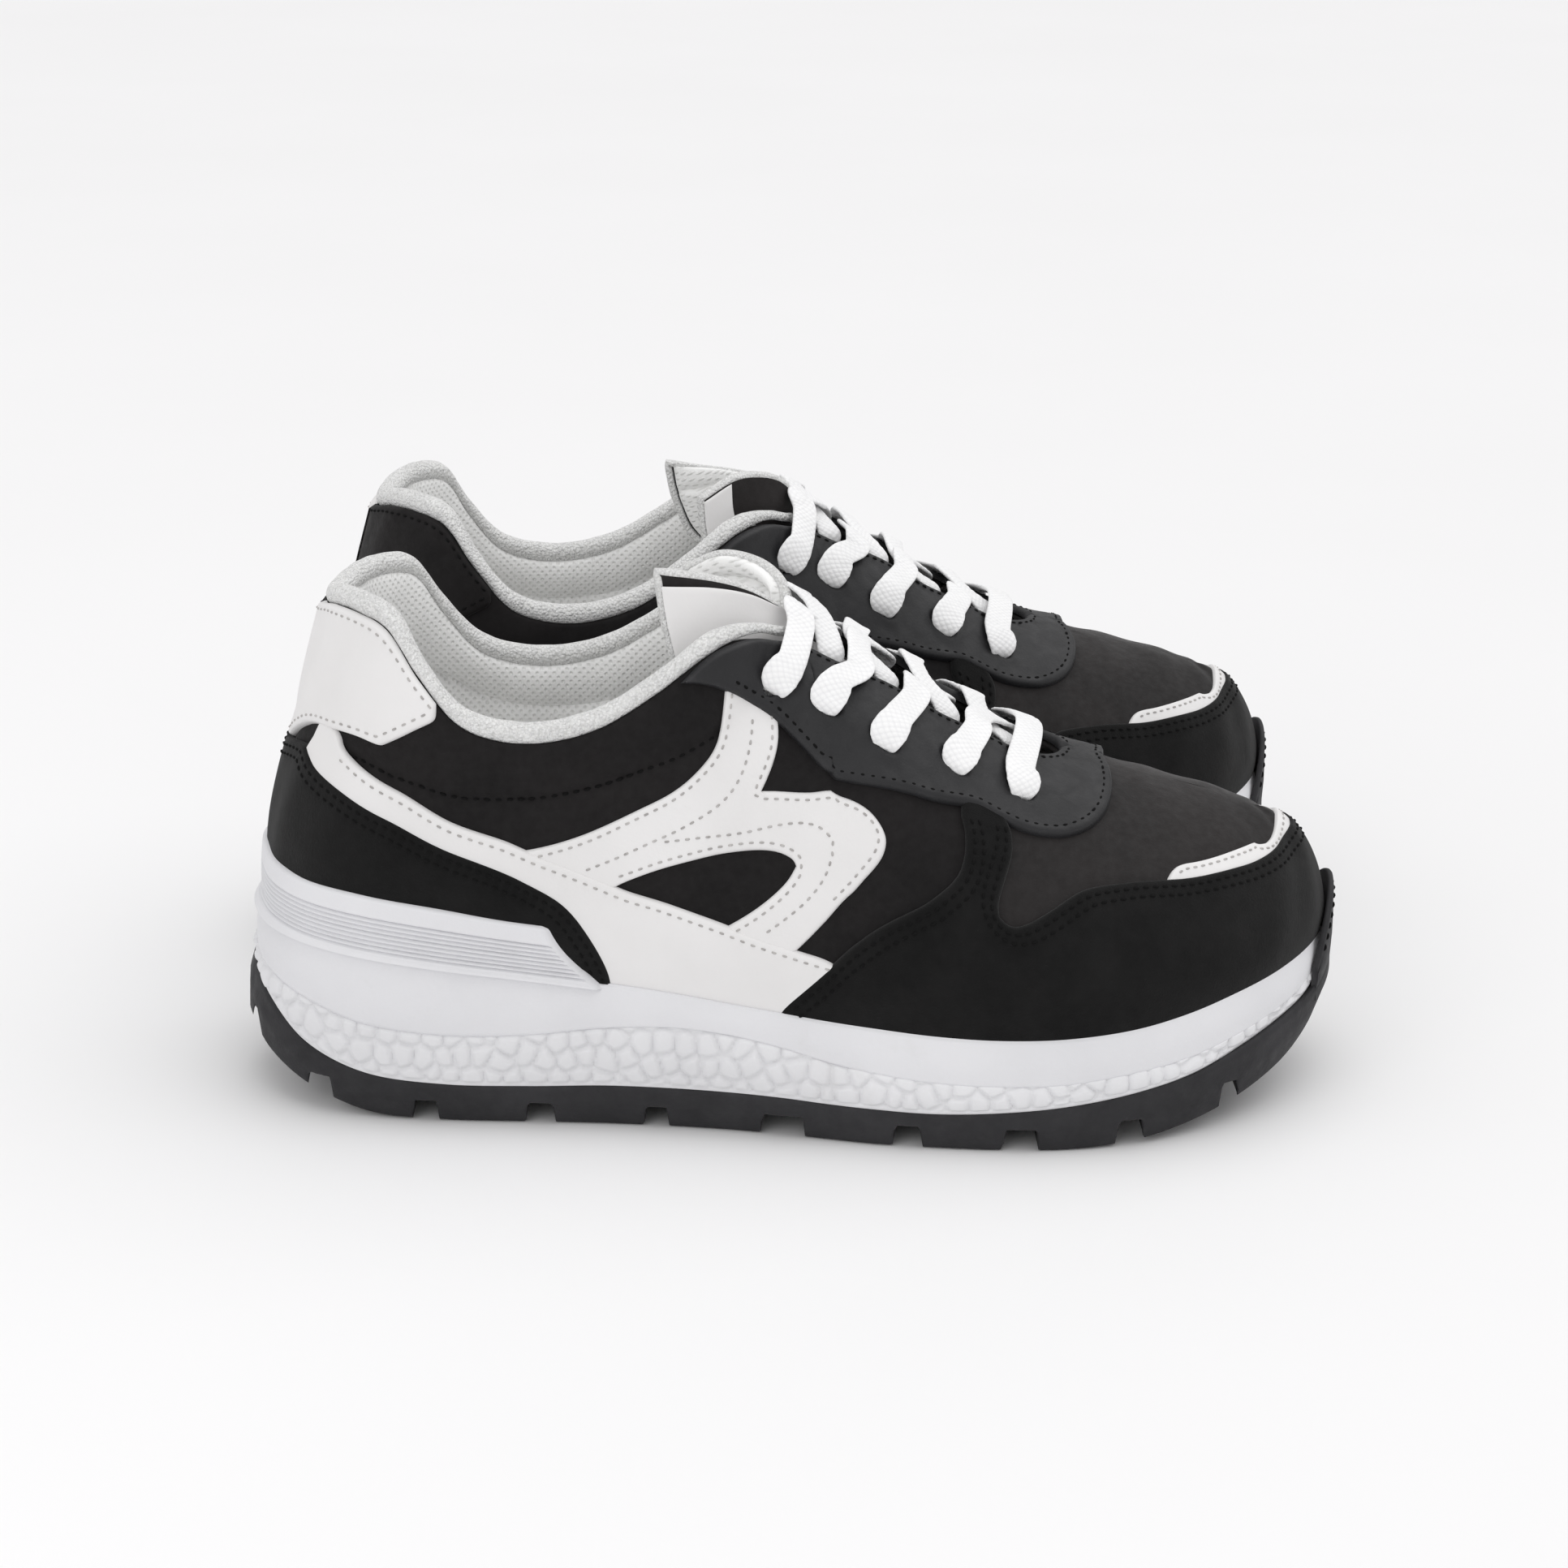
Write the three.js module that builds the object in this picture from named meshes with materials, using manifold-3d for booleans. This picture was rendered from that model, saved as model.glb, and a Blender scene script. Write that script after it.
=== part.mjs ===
// A pair of low-top lace-up sneakers, right shoe and left shoe standing side by side.
// Millimetres, +Z up, toes toward +X.  Each shoe is drawn in its own frame
// (x from the back of the heel, lateral side toward -y for the right shoe) and
// then set down in the pair; the left shoe is the mirror image of the right one.
import * as THREE from "three";
import Module from "manifold-3d";

const wasm = await Module();
wasm.setup();
const { Manifold, CrossSection } = wasm;

// ---- driving dimensions -------------------------------------------------
const SHOE_LENGTH = 275; // outsole, heel to toe
const TOE_OUT = 3.29; // degrees each shoe is turned out
const SPACING = 108.3; // between the two shoes' centre lines, at mid length
const AHEAD = 8; // the left shoe stands this much further forward
const BASE_THICKNESS = 1.4; // softshell upper panels
const OVERLAY_THICKNESS = 1.3; // overlays sewn on the panels
const GAP = 0.3; // clearance between stacked layers
const HALF_SEAM = 0.22; // half the clearance between pieces that butt
const PADDING = 3.2; // padded collar lining
const LACE_WIDTH = 7.0;
const LACE_THICKNESS = 1.3;
const EYELET_RADIUS = 2.8;
const LUG_DEPTH = 6;
const ROLL_ACROSS = 3.5; // half sizes of the collar roll
const ROLL_HIGH = 3.4;
const SOCK_THICKNESS = 3.6;

// ---- the shape of the upper --------------------------------------------
// 23 ribs per side, from the heel centre line round to the toe centre line.
// F: where the rib meets the sole (x, half width, z); T: its top end, on the
// collar edge at the back and on the centre line of the instep in front.
const T = [[25.5,0,124],[29,10,126],[35,19,126.5],[42.5,26,124],[50,30.5,113],[60,33,102],[75,33.5,98.5],[91,32.5,101.5],[105,30.5,109.5],[117,27.5,118],[127,21,122],[133.5,11,122.5],[136,0,122],[153,0,111.5],[171,0,99.5],[190,0,88.5],[207,0,82],[221,0,78.3],[233,0,75.2],[243.5,0,72.2],[250.5,0,69.8],[254.5,0,68.3],[256,0,67.8]];
const FL = [[10,0,46],[11.2,9.5,45.8],[15,19.5,45.2],[23,27.5,44],[36,33,42.5],[54,36,40.5],[74,37.5,38.5],[93,39,36.5],[110,41,34.5],[124,43,32.5],[136,45,31],[147,46.5,29.5],[158,48,28.3],[172,49.7,27],[187,50.8,26.3],[203,50.8,26.6],[219,48.5,28],[233,44,30.5],[245.5,37.5,33.5],[256,29,35.8],[263.5,19.5,37.2],[268.3,10,38],[270,0,38.2]];
const MEDIAL_WIDTH = [0,9.5,19.3,27,32,34.5,35,35,35.3,36.2,37.5,38.8,40.2,42,43.5,44.2,43.3,40.5,35.5,28,19,10,0];
const FM = FL.map((f, i) => [f[0], MEDIAL_WIDTH[i], f[2]]);
const N = 22;

const clamp = (x, a, b) => Math.min(b, Math.max(a, x));
const smooth = (a, b, x) => {
  const t = clamp((x - a) / (b - a), 0, 1);
  return t * t * (3 - 2 * t);
};
function row(tab, k) {
  if (k < 0) return [tab[-k][0], -tab[-k][1], tab[-k][2]];
  if (k > N) return [tab[2 * N - k][0], -tab[2 * N - k][1], tab[2 * N - k][2]];
  return tab[k];
}
function spline(tab, u) {
  u = clamp(u, 0, N);
  const i = Math.min(Math.floor(u), N - 1), f = u - i;
  const [a, b, c, d] = [row(tab, i - 1), row(tab, i), row(tab, i + 1), row(tab, i + 2)];
  return [0, 1, 2].map((q) => 0.5 * (2 * b[q] + (c[q] - a[q]) * f + (2 * a[q] - 5 * b[q] + 4 * c[q] - d[q]) * f * f + (3 * b[q] - a[q] - 3 * c[q] + d[q]) * f * f * f));
}
function along(list, u) {
  u = clamp(u, 0, list.length - 1);
  const i = Math.min(Math.floor(u), list.length - 2);
  return list[i] + (list[i + 1] - list[i]) * (u - i);
}
function outward(tab, u) {
  if (u < 1e-6) return [-1, 0];
  if (u > N - 1e-6) return [1, 0];
  const e = Math.min(0.05, u, N - u), p = spline(tab, Math.min(u + e, N)), q = spline(tab, Math.max(u - e, 0));
  const dx = p[0] - q[0], dw = p[1] - q[1], L = Math.hypot(dx, dw);
  return [-dw / L, dx / L];
}
// point on the outside of the upper: u rib number, v 0 at the sole to 1 at the top; y is the half width here
function upper(u, v, medial) {
  const FT = medial ? FM : FL, e = 0.05;
  const F = spline(FT, u), P = spline(T, u), n = outward(FT, u);
  const a = spline(T, Math.min(u + e, N)), b = spline(T, Math.max(u - e, 0));
  const dx = a[0] - b[0], dz = a[2] - b[2];
  const m = clamp(Math.abs(dx) > 1e-4 ? -dz / Math.max(dx, 1e-4) : 0.35, 0.2, 0.75);
  let px = F[0] - P[0], py = F[1] - P[1];
  const L = Math.hypot(px, py);
  px /= Math.max(L, 1e-6); py /= Math.max(L, 1e-6);
  const k = smooth(9, 13, u), h = P[2] - F[2], lt = L * 0.62;
  const P1 = [F[0] + n[0] * 3, F[1] + n[1] * 3, F[2] + h * (0.42 - 0.04 * k)];
  const P2 = [
    P[0] + n[0] * 2 * (1 - k) + px * lt * k,
    P[1] + n[1] * 2 * (1 - k) + py * lt * k,
    P[2] - h * 0.33 * (1 - k) - m * px * lt * k,
  ];
  const w = 1 - v;
  return [0, 1, 2].map((q) => w * w * w * F[q] + 3 * w * w * v * P1[q] + 3 * w * v * v * P2[q] + v * v * v * P[q]);
}
function normal(u, v, medial) {
  const spine = v > 1 - 1e-6 && u > 11.99; // the very end of the toe fan has no width, so look a little below it
  if (spine && u > 19) v = 0.985;
  const e = 0.02, u0 = Math.max(u - e, 0), u1 = Math.min(u + e, N), v0 = Math.max(v - e, 0), v1 = Math.min(v + e, 1);
  const a = upper(u1, v, medial), b = upper(u0, v, medial), c = upper(u, v1, medial), d = upper(u, v0, medial);
  const U = [a[0] - b[0], a[1] - b[1], a[2] - b[2]], V = [c[0] - d[0], c[1] - d[1], c[2] - d[2]];
  let n = [U[1] * V[2] - U[2] * V[1], U[2] * V[0] - U[0] * V[2], U[0] * V[1] - U[1] * V[0]];
  let L = Math.hypot(...n);
  n = n.map((q) => q / L);
  if (u < 1e-6 || u > N - 1e-6 || spine) {
    n[1] = 0;
    L = Math.hypot(...n);
    n = n.map((q) => q / L);
  }
  return n;
}
const sideSign = normal(6, 0.5, false)[1] > 0 ? 1 : -1;

// ---- a panel: an outline in rib coordinates, given a thickness on the upper
const MU = 12, MV = 90; // flat size of one rib step and of a full rib, near enough for seam gaps
const UK = [], VK = [];
UK.push(0, 1, 2, 3, 4, 5, 6, 7, 8.5, 10, 11.5, 13, 14.5, 16, 17.5, 18.7, 19.7, 20.5, 21.3, 22);
const NV = 6;
for (let i = 0; i <= NV; i++) VK.push(i / NV);
const grids = {};
function grid(medial) {
  if (grids[medial]) return grids[medial];
  const P = UK.map((u) => VK.map((v) => upper(u, v, medial)));
  const n = UK.map((u) => VK.map((v) => normal(u, v, medial).map((q) => q * sideSign)));
  return (grids[medial] = { P, n });
}
let slab = null;
function slabSolid() {
  if (slab) return slab;
  const nu = UK.length, nv = VK.length, pos = [], tri = [], face = [];
  for (const h of [0, 1]) for (let i = 0; i < nu; i++) for (let j = 0; j < nv; j++) pos.push(UK[i] * MU, VK[j] * MV, h);
  const id = (h, i, j) => h * nu * nv + i * nv + j;
  let f = 0;
  const add = (a, b, c) => { tri.push(a, b, c); face.push(f++); };
  for (let i = 0; i < nu - 1; i++) for (let j = 0; j < nv - 1; j++) {
    add(id(1, i, j), id(1, i + 1, j), id(1, i + 1, j + 1));
    add(id(1, i, j), id(1, i + 1, j + 1), id(1, i, j + 1));
    add(id(0, i, j), id(0, i + 1, j + 1), id(0, i + 1, j));
    add(id(0, i, j), id(0, i, j + 1), id(0, i + 1, j + 1));
  }
  const wall = (a, b) => { add(a[0], b[0], b[1]); add(a[0], b[1], a[1]); };
  for (let i = 0; i < nu - 1; i++) {
    wall([id(0, i, 0), id(1, i, 0)], [id(0, i + 1, 0), id(1, i + 1, 0)]);
    wall([id(0, i + 1, nv - 1), id(1, i + 1, nv - 1)], [id(0, i, nv - 1), id(1, i, nv - 1)]);
  }
  for (let j = 0; j < nv - 1; j++) {
    wall([id(0, nu - 1, j), id(1, nu - 1, j)], [id(0, nu - 1, j + 1), id(1, nu - 1, j + 1)]);
    wall([id(0, 0, j + 1), id(1, 0, j + 1)], [id(0, 0, j), id(1, 0, j)]);
  }
  slab = new Manifold(new wasm.Mesh({ numProp: 3, vertProperties: new Float32Array(pos), triVerts: new Uint32Array(tri), faceID: new Uint32Array(face) }));
  return slab;
}
// point of the faceted upper at rib coordinates (u, v), moved out by off; y is the half width here
function onGrid(u, v, off, medial) {
  const g = grid(medial);
  let i = 0;
  while (i < UK.length - 2 && UK[i + 1] <= u + 1e-7) i++;
  const j = Math.min(Math.floor(v * NV + 1e-7), NV - 1);
  const a = clamp((u - UK[i]) / (UK[i + 1] - UK[i]), 0, 1), b = clamp(v * NV - j, 0, 1);
  const c = a >= b ? [[i, j, 1 - a], [i + 1, j, a - b], [i + 1, j + 1, b]] : [[i, j, 1 - b], [i + 1, j + 1, a], [i, j + 1, b - a]];
  return [0, 1, 2].map((q) => c.reduce((t, [ii, jj, w]) => t + w * (g.P[ii][jj][q] + g.n[ii][jj][q] * off), 0));
}
const flat = (poly) => {
  const pts = poly.map(([u, v]) => [(u <= 1e-6 ? -0.5 : u >= N - 1e-6 ? N + 0.5 : u) * MU, (v <= 1e-6 ? -0.06 : v >= 1 - 1e-6 ? 1.06 : v) * MV]);
  return new CrossSection([pts], "NonZero");
};
const panelOutline = (poly, grow = -HALF_SEAM) => flat(poly).offset(grow, "Miter", 2, 0);
function panelHalf(outline, low, high, medial) {
  const cut = outline.simplify(0.25).extrude(4).translate([0, 0, -1.5]);
  const piece = slabSolid().intersect(cut);
  const m = piece.getMesh(), g = grid(medial), out = new Float32Array(m.numVert * 3);
  for (let k = 0; k < m.numVert; k++) {
    const X = clamp(m.vertProperties[k * m.numProp] / MU, 0, N), Y = clamp(m.vertProperties[k * m.numProp + 1] / MV, 0, 1), h = m.vertProperties[k * m.numProp + 2];
    const p = onGrid(X, Y, low + (high - low) * h, medial);
    for (let q = 0; q < 3; q++) out[k * 3 + q] = p[q];
  }
  const tv = new Uint32Array(m.triVerts.length);
  // the lateral side lies toward -y, so its faces turn over
  for (let t = 0; t < tv.length; t += 3) {
    const flip = (sideSign > 0) !== medial;
    tv[t] = m.triVerts[t];
    tv[t + 1] = flip ? m.triVerts[t + 2] : m.triVerts[t + 1];
    tv[t + 2] = flip ? m.triVerts[t + 1] : m.triVerts[t + 2];
  }
  for (let k = 0; k < m.numVert; k++) {
    if (!medial) out[k * 3 + 1] = -out[k * 3 + 1];
    if (Math.abs(out[k * 3 + 1]) < 1e-4) out[k * 3 + 1] = 0;
  }
  return solid(out, tv);
}
function solid(pos, tri) {
  const mesh = new wasm.Mesh({ numProp: 3, vertProperties: new Float32Array(pos), triVerts: new Uint32Array(tri) });
  mesh.merge();
  let s = new Manifold(mesh);
  if (s.volume() < 0) {
    const t = new Uint32Array(tri);
    for (let k = 0; k < t.length; k += 3) { const q = t[k + 1]; t[k + 1] = t[k + 2]; t[k + 2] = q; }
    const again = new wasm.Mesh({ numProp: 3, vertProperties: new Float32Array(pos), triVerts: t });
    again.merge();
    s = new Manifold(again);
  }
  return s;
}
const bothHalves = (outline, low, high) => panelHalf(outline, low, high, false).add(panelHalf(outline, low, high, true));

// ---- outlines of the upper pieces, in rib coordinates --------------------
const ribLength = FL.map((f, u) => {
  let L = 0, p = upper(u, 0, false);
  for (let k = 1; k <= 20; k++) { const q = upper(u, k / 20, false); L += Math.hypot(q[0] - p[0], q[1] - p[1], q[2] - p[2]); p = q; }
  return L;
});
const below = (u, mm) => 1 - mm / along(ribLength, u); // v that lies mm below the collar edge
const collarLine = (u0, u1, mm, step = 1) => {
  const r = [];
  for (let u = u0; step > 0 ? u <= u1 + 1e-9 : u >= u1 - 1e-9; u += step) r.push([u, below(u, mm)]);
  return r;
};
const UNDER_ROLL = 5.4;
const edgeLine = (u) => 1 - 0.055 * smooth(9.2, 10.8, u); // where the collar roll runs; it dips toward the throat
const throat = [[10.85,0.885],[12.15,0.8],[12.9,0.8333],[13.7,0.85],[14.4,0.8667],[15.0,0.875],[15.35,0.8917],[15.6,0.925],[15.75,0.9583],[15.85,1.0]];
const seam = [[12.646,0],[12.646,0.0263],[13.011,0.1784],[13.452,0.3081],[13.927,0.4272],[14.157,0.5411],[14.274,0.6354],[14.4,0.75],[14.45,0.868]];
const quarterLine = [[0, 0], ...seam, [13.7,0.85],[12.9,0.8333],[12.15,0.8],[10.85,0.885],[10.3,0.91],[9.8,0.93], ...collarLine(9, 0, UNDER_ROLL, -1)];
const vampLine = [...seam].reverse().concat([[N, 0], [N, 1], [15.85, 1], [15.75,0.9583],[15.6,0.925],[15.35,0.8917],[15.0,0.875]]);
const eyestayLine = [[8.5,0.93],[9.368,0.846],[10.469,0.6866],[11.004,0.5988],[11.565,0.5171],[12.104,0.5122],[12.911,0.5458],[13.382,0.563],[14.036,0.6037],[14.25,0.5986],[14.625,0.5898],[15.037,0.5983],[15.366,0.6092],[15.755,0.6509],[16.122,0.7246],[16.4,0.826],[16.545,0.9321],[16.585,1.0], ...[...throat].reverse(), [10.3,0.91],[9.8,0.93],[9, below(9, UNDER_ROLL)]];
const tabLine = [[0, below(0, UNDER_ROLL)], [1, below(1, UNDER_ROLL)], [2, below(2, UNDER_ROLL)], [2.9,0.93],[3.423,0.915],[3.915,0.895],[4.3,0.885],[4.001,0.7855],[3.61,0.6768],[3.443,0.6409],[2.739,0.6059],[1.57,0.586],[0.949,0.5455],[0.4,0.5],[0,0.485]];
const counterLine = [[0,0],[0,0.4833],[1.648,0.5153],[1.811,0.5014],[2.399,0.4568],[3.238,0.4403],[4.464,0.4634],[5.59,0.419],[6.264,0.3293],[6.582,0.2619],[6.865,0.1502],[7.067,0.05],[7.1,0]];
const strapLine = [[1.9,0.60],[2.5,0.60],[2.716,0.5503],[3.306,0.5359],[4.349,0.5701],[5.568,0.5414],[6.053,0.4899],[7.126,0.354],[7.556,0.3003],[8.926,0.201],[10.136,0.1557],[11.161,0.1401],[9.9,0],[7.0,0],[7.067,0.05],[6.865,0.1502],[6.582,0.2619],[6.264,0.3293],[5.59,0.419],[4.464,0.4634],[3.238,0.4403],[2.399,0.4568],[1.811,0.5014]];
const sideLine = [[9.394,0.85],[9.247,0.7363],[9.056,0.6873],[8.699,0.6495],[8.206,0.6181],[7.336,0.596],[6.569,0.5373],[6.064,0.4901],[6.558,0.427],[7.183,0.3501],[7.864,0.3887],[8.76,0.4012],[9.531,0.3993],[10.067,0.3862],[10.435,0.3621],[10.488,0.3451],[10.269,0.3116],[9.67,0.258],[8.926,0.201],[9.543,0.1753],[10.136,0.1557],[11.268,0.2518],[11.727,0.2855],[12.298,0.3589],[12.503,0.4149],[12.45,0.45],[12.253,0.4759],[11.801,0.4828],[10.824,0.5],[9.937,0.5359],[10.264,0.5865],[10.503,0.6397],[10.526,0.69]];
const toeLine = [[9.9,0],[10.033,0.0281],[11.162,0.1418],[11.896,0.202],[12.841,0.2965],[13.114,0.3307],[13.513,0.3924],[13.706,0.4487],[13.815,0.523],[13.788,0.5683],[13.9,0.60],[14.4,0.60],[14.525,0.5822],[14.493,0.5218],[14.313,0.4461],[14.132,0.3737],[14.129,0.3398],[14.26,0.3217],[14.467,0.3309],[14.825,0.3776],[15.278,0.4447],[15.552,0.4721],[16.187,0.4993],[16.833,0.5008],[17.476,0.5106],[18.173,0.5276],[18.804,0.5514],[19.617,0.6099],[20.369,0.6891],[21.2,0.74],[N,0.76],[N,0]];
const stripeLine = [[N,0.86],[21,0.85],[20.4,0.83],[19.976,0.7972],[19.702,0.7374],[19.24,0.6698],[18.762,0.6296],[18.102,0.5896],[17.567,0.5681],[17.211,0.5601],[16.99,0.5372],[16.833,0.5008],[17.476,0.5106],[18.173,0.5276],[18.804,0.5514],[19.617,0.6099],[20.369,0.6891],[21.2,0.74],[N,0.76]];
const rearLiningLine = [[0,0.06],[9.6,0.06],[9.6,below(9.6,5.7)], ...collarLine(9, 0, 5.7, -1)];
const frontLiningLine = [[9.75,0.05],[N,0.05],[N,1],[16.8,1],[16.6,0.85],[16.0,0.68],[15.4,0.585],[14.5,0.56],[13,0.52],[12,0.49],[11.5,0.46],[10.6,0.5],[9.75,0.56]];

// ---- the sole: closed rings round the shoe ------------------------------
const ZT = [33,31,25.5,17.5,12.2,10.6,10.6,11.3,11.4,11.2,10.8,10,9.5,9.2,9.9,11.5,14,16.8,21,24.6,27,30.5,32.5]; // outsole edge
const ZS = [35,34.3,32.7,29.2,25,23.3,24,26.5,27.4,26.2,23.8,20.7,18.5,16.8,16.3,16.7,18.6,20.9,24.3,27.2,29.6,32.7,34.6]; // foot of the smooth midsole
const ZB = [17,16,11,5.5,1,0,0,0,0,0,0,0,0,0,0,0,1,3.5,7,11,15,19,22]; // ground side of the lugs
const O_TOP = [4.4,4.3,3.8,3,2.8,2.6,2.5,2.5,2.5,2.5,2.5,2.5,2.5,2.5,2.5,2.5,2.3,2.2,2,1.8,1.6,1.5,1.5];
const O_SEAM = [5.6,5.6,5.5,5.3,5,4.7,4.5,4.3,4.2,4.1,4.1,4.2,4.4,4.8,5,5,4.7,4.3,3.8,3.2,2.7,2.4,2.2];
const O_LOW = [6.2,6.2,6.2,6,5.5,5,4.6,4.4,4.4,4.5,4.7,5.1,5.6,6,6.2,6.2,6,5.8,5.4,5.1,4.9,4.9,5];
const O_PEB = [5.4,5.4,5.2,4.8,4.2,3.8,3.4,3.2,3.2,3.3,3.5,3.9,4.4,4.8,5,5,4.8,4.1,3.1,2.6,2.3,2.1,2];
const O_GROUND = [9,8.2,6.4,4.6,3.2,2.4,2,1.6,1.4,1.6,2.2,3.4,4.6,5,5.4,5.4,5,4.2,3.4,2.8,2.4,2.2,2];
function ring(offsets, heights, grow = 0, lift = 0) {
  // right shoe: from the heel along the lateral side (-y) to the toe and back along the medial side
  const r = [];
  const at = (u, medial) => {
    const tab = medial ? FM : FL, f = spline(tab, u), n = outward(tab, u), o = along(offsets, u) + grow;
    return [f[0] + n[0] * o, (f[1] + n[1] * o) * (medial ? 1 : -1), along(heights, u) + lift];
  };
  for (let u = 0; u <= N; u++) r.push(at(u, false));
  for (let u = N - 1; u >= 1; u--) r.push(at(u, true));
  return r;
}
// stack of rings with the same number of points, closed by strips that run across the shoe
function loft(rings) {
  const n = rings[0].length, pos = [], tri = [];
  rings.forEach((r) => r.forEach((p) => pos.push(...p)));
  for (let k = 0; k < rings.length - 1; k++) for (let i = 0; i < n; i++) {
    const a = k * n + i, b = k * n + ((i + 1) % n), c = a + n, d = b + n;
    tri.push(a, b, d, a, d, c);
  }
  const cap = (k, up) => {
    const id = (i) => k * n + ((i + n) % n), t = (a, b, c) => (up ? tri.push(a, b, c) : tri.push(a, c, b));
    for (let i = 0; i < n / 2; i++) {
      const a = id(i), b = id(i + 1), c = id(-i), d = id(-i - 1);
      if (i === 0) t(a, b, d);
      else if (i === n / 2 - 1) t(a, b, c);
      else { t(a, b, d); t(a, d, c); }
    }
  };
  cap(0, false);
  cap(rings.length - 1, true);
  return solid(pos, tri);
}
const box = (x0, x1, y0, y1, z0, z1) => Manifold.cube([x1 - x0, y1 - y0, z1 - z0]).translate([x0, y0, z0]);

// ---- build one (right) shoe ---------------------------------------------
const pieces = {};
{
  // panels of the upper
  const b0 = -BASE_THICKNESS, o0 = GAP, o1 = GAP + OVERLAY_THICKNESS;
  const eyestay = panelOutline(eyestayLine), strap = panelOutline(strapLine), counter = panelOutline(counterLine);
  const tab = panelOutline(tabLine), toe = panelOutline(toeLine), stripe = panelOutline(stripeLine);
  const wide = (l) => panelOutline(l, HALF_SEAM);
  pieces.quarter_lateral = panelHalf(panelOutline(quarterLine), b0, 0, false);
  pieces.quarter_medial = panelHalf(panelOutline(quarterLine), b0, 0, true);
  // the two quarters meet in a seam down the back of the heel
  const heelSeam = box(-5, 60, -0.2, 0.2, 0, 140);
  pieces.quarter_lateral = pieces.quarter_lateral.subtract(heelSeam);
  pieces.quarter_medial = pieces.quarter_medial.subtract(heelSeam);
  pieces.vamp = bothHalves(panelOutline(vampLine), b0, 0);
  pieces.toe_overlay = bothHalves(toe.subtract(wide(stripeLine)).subtract(wide(eyestayLine)), o0, o1);
  pieces.toe_stripe = bothHalves(stripe, o0, o1 - 0.2);
  pieces.eyestay = bothHalves(eyestay, o0, o1);
  const strapFlat = strap.subtract(wide(counterLine)).subtract(wide(tabLine)).subtract(wide(toeLine));
  pieces.saddle_strap_lateral = panelHalf(strapFlat, o0, o1, false);
  pieces.saddle_strap_medial = panelHalf(strapFlat, o0, o1, true);
  const sideFlat = panelOutline(sideLine).subtract(wide(strapLine)).subtract(wide(eyestayLine)).subtract(wide(toeLine));
  pieces.side_overlay_lateral = panelHalf(sideFlat, o0, o1, false);
  pieces.side_overlay_medial = panelHalf(sideFlat, o0, o1, true);
  pieces.heel_counter_overlay = bothHalves(counter, o0, o1 + 0.3);
  const tabFlat = tab.subtract(wide(counterLine));
  pieces.heel_tab_lateral = panelHalf(tabFlat, o0, o1 + 0.3, false).subtract(heelSeam);
  pieces.heel_tab_medial = panelHalf(tabFlat, o0, o1 + 0.3, true).subtract(heelSeam);
  pieces.collar_lining = bothHalves(panelOutline(rearLiningLine), -BASE_THICKNESS - GAP - PADDING, -BASE_THICKNESS - GAP);
  pieces.vamp_lining = bothHalves(panelOutline(frontLiningLine), -BASE_THICKNESS - GAP - 0.8, -BASE_THICKNESS - GAP);

  // eyelet holes, five a side, punched through the eyestay and the quarter under it
  const eyelets = [[10.5,0.785],[11.95,0.68],[12.75,0.65],[13.85,0.70],[14.8,0.715]];
  pieces.holes = eyelets.flatMap(([u, v]) => [false, true].map((medial) => {
    const p = onGrid(u, v, 0, medial), n = normal(u, v, medial).map((q) => q * sideSign);
    const s = medial ? 1 : -1;
    return { p: [p[0], s * p[1], p[2]], n: [n[0], s * n[1], n[2]], medial };
  }));
  for (const h of pieces.holes) {
    const q = new THREE.Quaternion().setFromUnitVectors(new THREE.Vector3(0, 0, 1), new THREE.Vector3(...h.n));
    const m = new THREE.Matrix4().compose(new THREE.Vector3(...h.p), q, new THREE.Vector3(1, 1, 1));
    const drill = Manifold.cylinder(12, EYELET_RADIUS, EYELET_RADIUS, 8, true).transform(m.elements);
    pieces.eyestay = pieces.eyestay.subtract(drill);
    const quarter = h.medial ? "quarter_medial" : "quarter_lateral";
    pieces[quarter] = pieces[quarter].subtract(drill);
    pieces.vamp = pieces.vamp.subtract(drill);
  }

  // collar roll: a soft round edge that runs round the opening
  {
    const sec = 8, pos = [], tri = [];
    const us = [];
    for (let u = -10.8; u <= 10.8001; u += 0.72) us.push(u);
    for (const u of us) {
      const a = Math.abs(u), medial = u > 0, s = medial ? 1 : -1;
      const top = edgeLine(a), p = upper(a, top, medial), q = upper(a, top - 0.03, medial), n = normal(a, top - 0.01, medial).map((x) => x * sideSign);
      let d = [p[0] - q[0], p[1] - q[1], p[2] - q[2]];
      const L = Math.hypot(...d);
      d = d.map((x) => x / L);
      const end = 1 - 0.45 * smooth(9.2, 10.8, a);
      for (let k = 0; k < sec; k++) {
        const t = (k / sec) * 2 * Math.PI, ca = Math.cos(t) * ROLL_ACROSS * end - 1.9, cb = Math.sin(t) * ROLL_HIGH * end - 0.7;
        let y = p[1] + n[1] * ca + d[1] * cb;
        pos.push(p[0] + n[0] * ca + d[0] * cb, y * s, p[2] + n[2] * ca + d[2] * cb);
      }
    }
    for (let i = 0; i < us.length - 1; i++) for (let k = 0; k < sec; k++) {
      // the section keeps its sense on the lateral side and is mirrored on the medial side
      const a = i * sec + k, b = i * sec + ((k + 1) % sec), c = a + sec, e = b + sec;
      tri.push(a, b, e, a, e, c);
    }
    for (let k = 1; k < sec - 1; k++) {
      tri.push(0, k + 1, k);
      const o = (us.length - 1) * sec;
      tri.push(o, o + k, o + k + 1);
    }
    pieces.collar_roll = solid(pos, tri);
  }

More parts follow.
